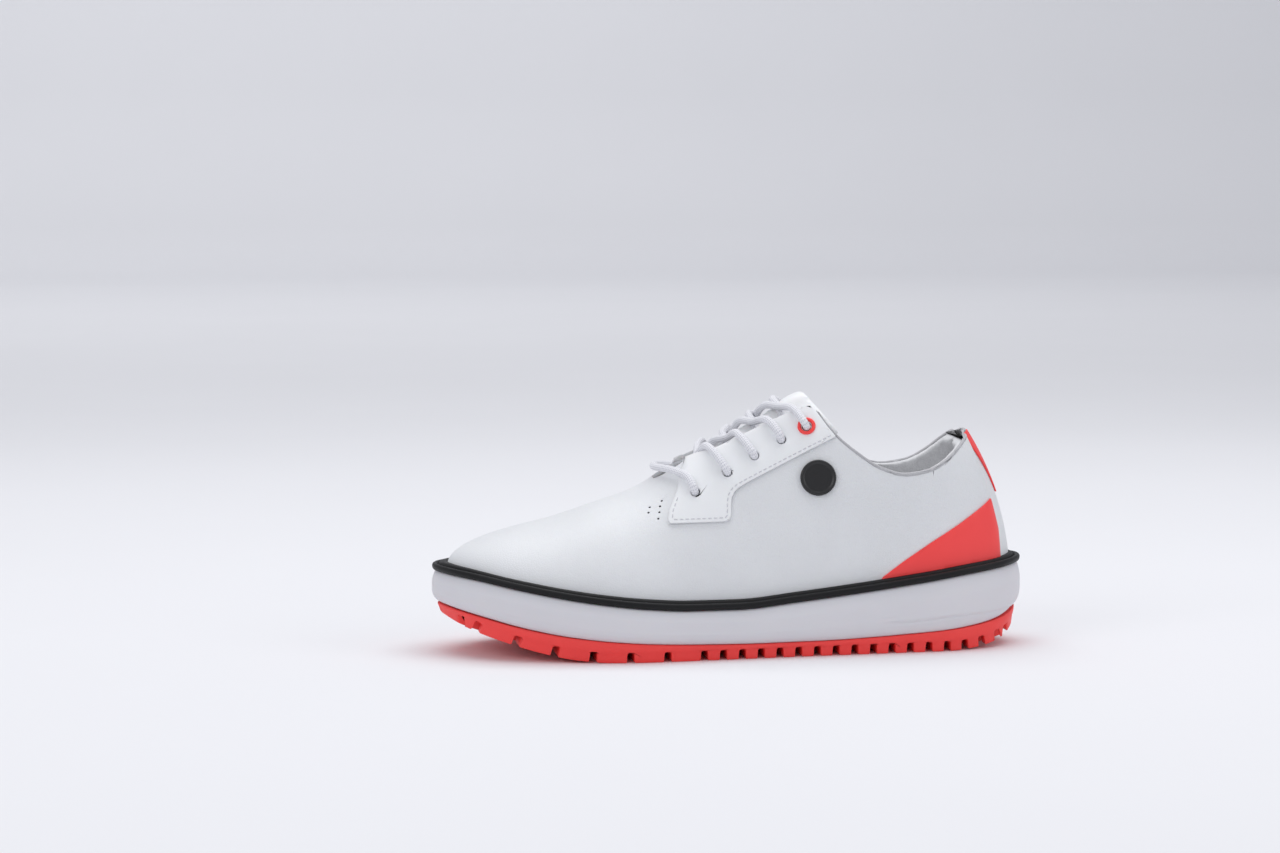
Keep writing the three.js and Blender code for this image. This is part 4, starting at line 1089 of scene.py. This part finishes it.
BADGE_DIAMETER = 0.018
badge_place, badge_way = on_skin(upper, 0.13 * SOLE_LENGTH, 0.0886, -1)
bpy.ops.object.select_all(action="DESELECT")
bpy.ops.mesh.primitive_circle_add(vertices=64, radius=BADGE_DIAMETER / 2, fill_type="NGON",
                                  location=(0, 0, -0.0015))
badge = bpy.context.object
badge.name = "badge_disc"
bpy.ops.object.transform_apply(location=True)
bpy.ops.object.mode_set(mode="EDIT")
bpy.ops.mesh.select_all(action="SELECT")
# The disc's profile from the leather up and in to its middle: (rise, share of the full width).
BADGE_PROFILE = [(0.0028, 1.0), (0.0006, 0.975), (0.00028, 0.93), (0, 0.86), (-0.00045, 0.80), (-0.0001, 0.73),
                 (0.0002, 0.6), (0.00012, 0.4), (0.00005, 0.15)]
last_size = 1.0
for rise, size in BADGE_PROFILE:
    bpy.ops.mesh.extrude_region_move(TRANSFORM_OT_translate={"value": (0, 0, rise)})
    bpy.ops.transform.resize(value=(size / last_size, size / last_size, 1))
    last_size = size
bpy.ops.object.mode_set(mode="OBJECT")
badge.data.transform(Matrix.Translation(badge_place) @ badge_way.to_track_quat("Z", "Y").to_matrix().to_4x4())
bpy.ops.object.mode_set(mode="EDIT")
bpy.ops.mesh.select_all(action="SELECT")
bpy.ops.mesh.normals_make_consistent(inside=False)
bpy.ops.object.mode_set(mode="OBJECT")
bpy.ops.object.shade_smooth_by_angle(angle=math.radians(40))

material, shader, node, join = new_material("black_moulded_plastic")
where = node("TexCoord")
spark = node("TexNoise", Scale=2400.0, Detail=3.0)
join(where.outputs["Object"], spark.inputs["Vector"])
tint = node("ValToRGB")
tint.color_ramp.elements[0].color = (0.008, 0.008, 0.009, 1)
tint.color_ramp.elements[1].color = (0.016, 0.016, 0.017, 1)
join(spark.outputs[0], tint.inputs[0])
join(tint.outputs[0], shader.inputs["Base Color"])
bump = node("Bump", Strength=0.2, Distance=0.0001)
join(spark.outputs[0], bump.inputs["Height"])
join(bump.outputs[0], shader.inputs["Normal"])
rough = node("MapRange", To_Min=0.28, To_Max=0.42)
join(spark.outputs[0], rough.inputs["Value"])
join(rough.outputs[0], shader.inputs["Roughness"])
badge.data.materials.append(material)
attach(badge, "shoe")
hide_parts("badge")

# ---- Grommets ----------------------------------------------------------------------------------
# A coral plastic ring in the top eyelet of each row: a rounded flange on the leather and a
# barrel that goes through all the layers.

material, shader, node, join = new_material("coral_moulded_plastic")
where = node("TexCoord")
spark = node("TexNoise", Scale=1800.0, Detail=3.0)
join(where.outputs["Object"], spark.inputs["Vector"])
tint = node("ValToRGB")
tint.color_ramp.elements[0].color = (0.95, 0.050, 0.048, 1)
tint.color_ramp.elements[1].color = (1.0, 0.068, 0.064, 1)
join(spark.outputs[0], tint.inputs[0])
join(tint.outputs[0], shader.inputs["Base Color"])
bump = node("Bump", Strength=0.15, Distance=0.0001)
join(spark.outputs[0], bump.inputs["Height"])
join(bump.outputs[0], shader.inputs["Normal"])
shader.inputs["Roughness"].default_value = 0.35
coral_plastic = material

GROMMET = [(2.7, -6), (3.4, -6), (3.4, 0), (4.45, 0), (4.55, 0.3), (4.4, 0.7), (4.0, 1.0), (3.55, 1.1), (3.1, 0.95),
           (2.8, 0.6), (2.7, 0.2)]
for side in ("lateral", "medial"):
    place, way = list(eyelet_frames(side))[-1]
    mesh = bpy.data.meshes.new("grommet_" + side + "_ring")
    mesh.from_pydata([(r / 1000, 0, h / 1000) for r, h in GROMMET],
                     [(k, (k + 1) % len(GROMMET)) for k in range(len(GROMMET))], [])
    grommet = bpy.data.objects.new(mesh.name, mesh)
    bpy.context.collection.objects.link(grommet)
    bpy.ops.object.select_all(action="DESELECT")
    bpy.context.view_layer.objects.active = grommet
    grommet.select_set(True)
    bpy.ops.object.mode_set(mode="EDIT")
    bpy.ops.mesh.select_all(action="SELECT")
    bpy.ops.mesh.spin(steps=40, angle=2 * math.pi, center=(0, 0, 0), axis=(0, 0, 1))
    bpy.ops.mesh.select_all(action="SELECT")
    bpy.ops.mesh.remove_doubles(threshold=1e-6)
    bpy.ops.mesh.normals_make_consistent(inside=False)
    bpy.ops.object.mode_set(mode="OBJECT")
    facing_out = way.to_track_quat("Z", "Y").to_matrix().to_4x4()
    grommet.data.transform(Matrix.Translation(place + way * 0.0016) @ facing_out)
    bpy.ops.object.shade_smooth_by_angle(angle=math.radians(50))
    grommet.data.materials.append(coral_plastic)
    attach(grommet, "shoe")
    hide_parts("grommet_" + side)

# ---- Lining ------------------------------------------------------------------------------------
# Light grey brushed knit over the whole inside. Below the collar pad it lies flat on the counter.


def textile(name, deep, pale, weave, depth):
    material, shader, node, join = new_material(name)
    where = node("TexCoord")
    ribs = node("TexVoronoi", Scale=weave)
    fuzz = node("TexNoise", Scale=weave * 2.2, Detail=4.0)
    cloud = node("TexNoise", Scale=35.0, Detail=3.0)
    for texture in (ribs, fuzz, cloud):
        join(where.outputs["Object"], texture.inputs["Vector"])
    height = node("Math", _operation="MULTIPLY_ADD")
    height.inputs[1].default_value = 0.6
    join(ribs.outputs["Distance"], height.inputs[0])
    join(fuzz.outputs[0], height.inputs[2])
    tint = node("ValToRGB")
    tint.color_ramp.elements[0].color = deep
    tint.color_ramp.elements[0].position = 0.35
    tint.color_ramp.elements[1].color = pale
    tint.color_ramp.elements[1].position = 0.8
    mix = node("Math", _operation="MULTIPLY_ADD")
    mix.inputs[1].default_value = 0.5
    join(cloud.outputs[0], mix.inputs[0])
    half = node("Math", _operation="MULTIPLY")
    half.inputs[1].default_value = 0.5
    join(height.outputs[0], half.inputs[0])
    join(half.outputs[0], mix.inputs[2])
    join(mix.outputs[0], tint.inputs[0])
    join(tint.outputs[0], shader.inputs["Base Color"])
    bump = node("Bump", Strength=depth, Distance=0.0003)
    join(height.outputs[0], bump.inputs["Height"])
    join(bump.outputs[0], shader.inputs["Normal"])
    shader.inputs["Roughness"].default_value = 0.95
    shader.inputs["Sheen Weight"].default_value = 0.35
    return material


grey_knit = textile("grey_brushed_knit", (0.60, 0.605, 0.62, 1), (0.78, 0.785, 0.80, 1), 1100.0, 0.5)
PAD_FRONT = 0.667


def lining_top(s):
    return collar(s) - 0.029 * smooth_step((s - PAD_FRONT) / 0.012)


lining = layer_shell("lining_knit", -0.0032, -0.0044)
cut_below(lining, bed)
cut_above(lining, lining_top)
cut_throat(lining)
for side in EYELETS:
    drill_eyelets(lining, side, 0.0076)
tidy_edges(lining, 0.0003, angle=50)
lining.data.materials.clear()
lining.data.materials.append(grey_knit)
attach(lining, "shoe")
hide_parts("lining")

# ---- Collar pad --------------------------------------------------------------------------------
# Foam wrapped in the same knit, sewn in along the collar and 30 mm down inside it. It swells
# inwards and rolls over the edge, and gathers in soft folds round the heel.


def stuff(piece, voxel, pressure, cap, held):
    """Swells a padded piece with air pressure, holding the points that its seams hold."""
    bpy.ops.object.select_all(action="DESELECT")
    bpy.context.view_layer.objects.active = piece
    piece.select_set(True)
    grid = piece.modifiers.new("even", "REMESH")
    grid.mode = "VOXEL"
    grid.voxel_size = voxel
    bpy.ops.object.modifier_apply(modifier=grid.name)
    settle = piece.modifiers.new("settle", "SMOOTH")
    settle.factor = 0.5
    settle.iterations = 3
    bpy.ops.object.modifier_apply(modifier=settle.name)
    before = [v.co.copy() for v in piece.data.vertices]
    pins = piece.vertex_groups.new(name="pins")
    pins.add([v.index for v in piece.data.vertices if held(v)], 1.0, "REPLACE")
    cloth = piece.modifiers.new("swell", "CLOTH")
    cloth.settings.quality = 6
    cloth.settings.mass = 0.3
    cloth.settings.tension_stiffness = 12
    cloth.settings.compression_stiffness = 12
    cloth.settings.bending_stiffness = 0.4
    cloth.settings.use_pressure = True
    cloth.settings.uniform_pressure_force = pressure
    cloth.settings.effector_weights.gravity = 0
    cloth.settings.vertex_group_mass = "pins"
    cloth.collision_settings.use_collision = False
    cloth.point_cache.frame_start = 1
    cloth.point_cache.frame_end = 20
    for step in range(1, 21):
        bpy.context.scene.frame_set(step)
    bpy.ops.object.modifier_apply(modifier=cloth.name)
    bpy.context.scene.frame_set(1)
    for vertex, old in zip(piece.data.vertices, before):
        moved = vertex.co - old
        if moved.length > cap:
            vertex.co = old + moved * (cap / moved.length)
    piece.vertex_groups.clear()
    fine = piece.modifiers.new("fine", "SUBSURF")
    fine.levels = 1
    fine.render_levels = 1
    bpy.ops.object.modifier_apply(modifier=fine.name)
    bpy.ops.object.shade_smooth()


def nearest_layer(p):
    """How far in from the last a point is, by the nearest point of the last's own grid."""
    place, way, _, _ = last_tree.find_nearest(p)
    return (p - place).dot(way)


last_faces = []
for j in range(RINGS):
    for i in range(ROUND):
        n = (i + 1) % ROUND
        last_faces.append((j * ROUND + i, j * ROUND + n, (j + 1) * ROUND + n, (j + 1) * ROUND + i))
last_tree = BVHTree.FromPolygons([tuple(p) for row in last_grid for p in row], last_faces)

collar_pad = layer_shell("collar_pad_knit", -0.0021, lambda p: -0.0074)
cut_above(collar_pad, collar, 0.0010)
cut_below(collar_pad, collar, -0.0288)
cut_throat(collar_pad)
keep_beside(collar_pad, (PAD_FRONT - 0.5) * SOLE_LENGTH, True)
stuff(collar_pad, 0.0013, 3.0, 0.003, lambda v: nearest_layer(v.co) > -0.0035)
for vertex in collar_pad.data.vertices:
    p = vertex.co
    depth = -nearest_layer(p)
    inner = smooth_step((depth - 0.004) / 0.003)
    s = station(p.x)
    below = collar(s) - p.z
    round_heel = math.atan2(p.y - MIDDLE_Y, p.x - 0.085)
    fold = 0.5 + 0.5 * math.sin(round_heel * 9 + 120 * below + 0.8 * math.sin(round_heel * 4))
    reach = smooth_step((p.x - 0.07) / 0.04) * math.exp(-((below - 0.014) / 0.010) ** 2)
    place, way, _, _ = last_tree.find_nearest(p)
    vertex.co = p - way * inner * reach * 0.0011 * (fold ** 1.5 - 0.35)
collar_pad.data.materials.clear()
collar_pad.data.materials.append(grey_knit)
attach(collar_pad, "shoe")
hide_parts("collar_padding")

# ---- Collar binding ----------------------------------------------------------------------------
# A fine grey woven tape sewn over the raw edge of leather and pad all the way round the collar.

grey_tape = textile("grey_woven_tape", (0.36, 0.36, 0.375, 1), (0.50, 0.50, 0.52, 1), 1600.0, 0.5)
binding = layer_shell("collar_binding_tape", 0.0003, -0.0024)
cut_below(binding, collar, -0.0004)
cut_above(binding, collar, 0.0016)
cut_throat(binding)
tidy_edges(binding, 0.0007, angle=50, segments=3)
binding.data.materials.clear()
binding.data.materials.append(grey_tape)
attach(binding, "shoe")
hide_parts("collar_binding")

# ---- Footbed -----------------------------------------------------------------------------------
# A moulded foam sockliner with a knit top, cupped round the heel, on the fibre lasting board.


def last_solid(name, grow, shift=Vector()):
    """The whole space inside the last at a distance, closed below."""
    rings = [[last_grid[j][i] + last_normals[j][i] * (grow(last_grid[j][i]) if callable(grow) else grow) + shift
              for i in range(ROUND)] for j in range(RINGS + 1)]
    rings.insert(0, [Vector((p.x, p.y, p.z - 0.008)) for p in rings[0]])
    faces = []
    for j in range(len(rings) - 1):
        for i in range(ROUND):
            n = (i + 1) % ROUND
            faces.append((j * ROUND + i, j * ROUND + n, (j + 1) * ROUND + n, (j + 1) * ROUND + i))
    for i in range(ROUND // 2):
        faces.append(tuple(dict.fromkeys(((ROUND - i) % ROUND, ROUND - i - 1, i + 1, i))))
    return make_mesh(name, [p for ring in rings for p in ring], [f for f in faces if len(set(f)) > 2])


cup = along([(0, 0), (0.4, 0.5), (0.7, 0.8), (0.85, 1), (1, 1)], 0.007)
sockliner = last_solid("sockliner_foam", -0.0048)
cut_below(sockliner, bed)
cut_above(sockliner, lambda s: bed(s) + 0.0045 + cup(s))
dish_rings = [[lift(edge_point(i / ROUND, ledge(station(edge_point(i / ROUND, 0).x)) + inset), z)
               for i in range(ROUND)]
              for inset, z in ((0.0087, 0.0), (0.0087, 0.033), (0.0080, 0.05), (0.0078, 0.2))]
dish = loft("dish", dish_rings)
cut_below(dish, bed, 0.0045)
carve(sockliner, dish)
tidy_edges(sockliner, 0.0012, angle=40, segments=3)
sockliner.data.materials.clear()
sockliner.data.materials.append(grey_knit)
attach(sockliner, "shoe")
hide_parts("sockliner")

material, shader, node, join = new_material("fibre_board")
where = node("TexCoord")
felt = node("TexNoise", Scale=500.0, Detail=6.0)
join(where.outputs["Object"], felt.inputs["Vector"])
tint = node("ValToRGB")
tint.color_ramp.elements[0].color = (0.36, 0.29, 0.18, 1)
tint.color_ramp.elements[1].color = (0.55, 0.47, 0.32, 1)
join(felt.outputs[0], tint.inputs[0])
join(tint.outputs[0], shader.inputs["Base Color"])
bump = node("Bump", Strength=0.4, Distance=0.0003)
join(felt.outputs[0], bump.inputs["Height"])
join(bump.outputs[0], shader.inputs["Normal"])
shader.inputs["Roughness"].default_value = 0.92
board = bpy.data.objects["lasting_board"]
board.data.materials.clear()
board.data.materials.append(material)

# ---- Tongue ------------------------------------------------------------------------------------
# Smooth white leather over thick foam, with a dark knit lining that shows as a thin edge at the
# top. It is sewn in at its front end only, lies under the lace and flares above it.

crest_sink = along([(0.33, 6.5), (0.42, 9.5), (0.54, 9.5), (0.6, 6.5), (0.68, 5)])
INTO_TONGUE = Vector((0.42, 0, -0.91))


def tongue_sink(p):
    s = station(p.x)
    wing = smooth_step((abs(p.y - MIDDLE_Y - crown_y(s)) - 0.006) / 0.012)
    return -(crest_sink(s) + 0.0025 * wing)


tongue = last_solid("tongue_pad_leather", tongue_sink)
carve(tongue, last_solid("tongue_under", tongue_sink, INTO_TONGUE * 0.0074))
TONGUE_SIDE = [(-200, 0), (66, 0), (65.5, 90), (63, 98), (38, 129), (34.5, 132.8), (31, 134), (31, 200),
               (-200, 200)]
carve(tongue, prism("tongue_cut", [(x / 1000, z / 1000) for x, z in TONGUE_SIDE], -0.1, 0.1), "INTERSECT")
# Along the tongue: x, and its reach from the crown line to the outer and to the inner side.
TONGUE_PLAN = [(-50, 14.5, 11.5), (-36, 17.5, 14.5), (-16, 24, 21), (24, 24, 21), (33, 21, 12.5), (66, 21, 12.5)]
KNIT_DEPTH = 0.0058  # below the leather face, where the lining begins
edge = [(x / 1000, crown_y(station(x / 1000)) + MIDDLE_Y - out / 1000) for x, out, _ in TONGUE_PLAN]
edge += [(x / 1000, crown_y(station(x / 1000)) + MIDDLE_Y + back / 1000) for x, _, back in reversed(TONGUE_PLAN)]
carve(tongue, prism("tongue_plan", edge, 0.056, 0.22, lie="z"), "INTERSECT")
stuff(tongue, 0.0015, 3.0, 0.002, lambda v: v.co.x < -0.03)
dark_knit = textile("dark_knit", (0.012, 0.012, 0.014, 1), (0.03, 0.03, 0.033, 1), 1300.0, 0.5)
tongue.data.materials.clear()
tongue.data.materials.append(smooth_leather)
tongue.data.materials.append(dark_knit)
for face in tongue.data.polygons:
    face.material_index = 1 if tongue_sink(face.center) - nearest_layer(face.center) > KNIT_DEPTH else 0
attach(tongue, "tongue")
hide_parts("tongue_face", "tongue_padding", "tongue_lining")

bpy.context.view_layer.update()
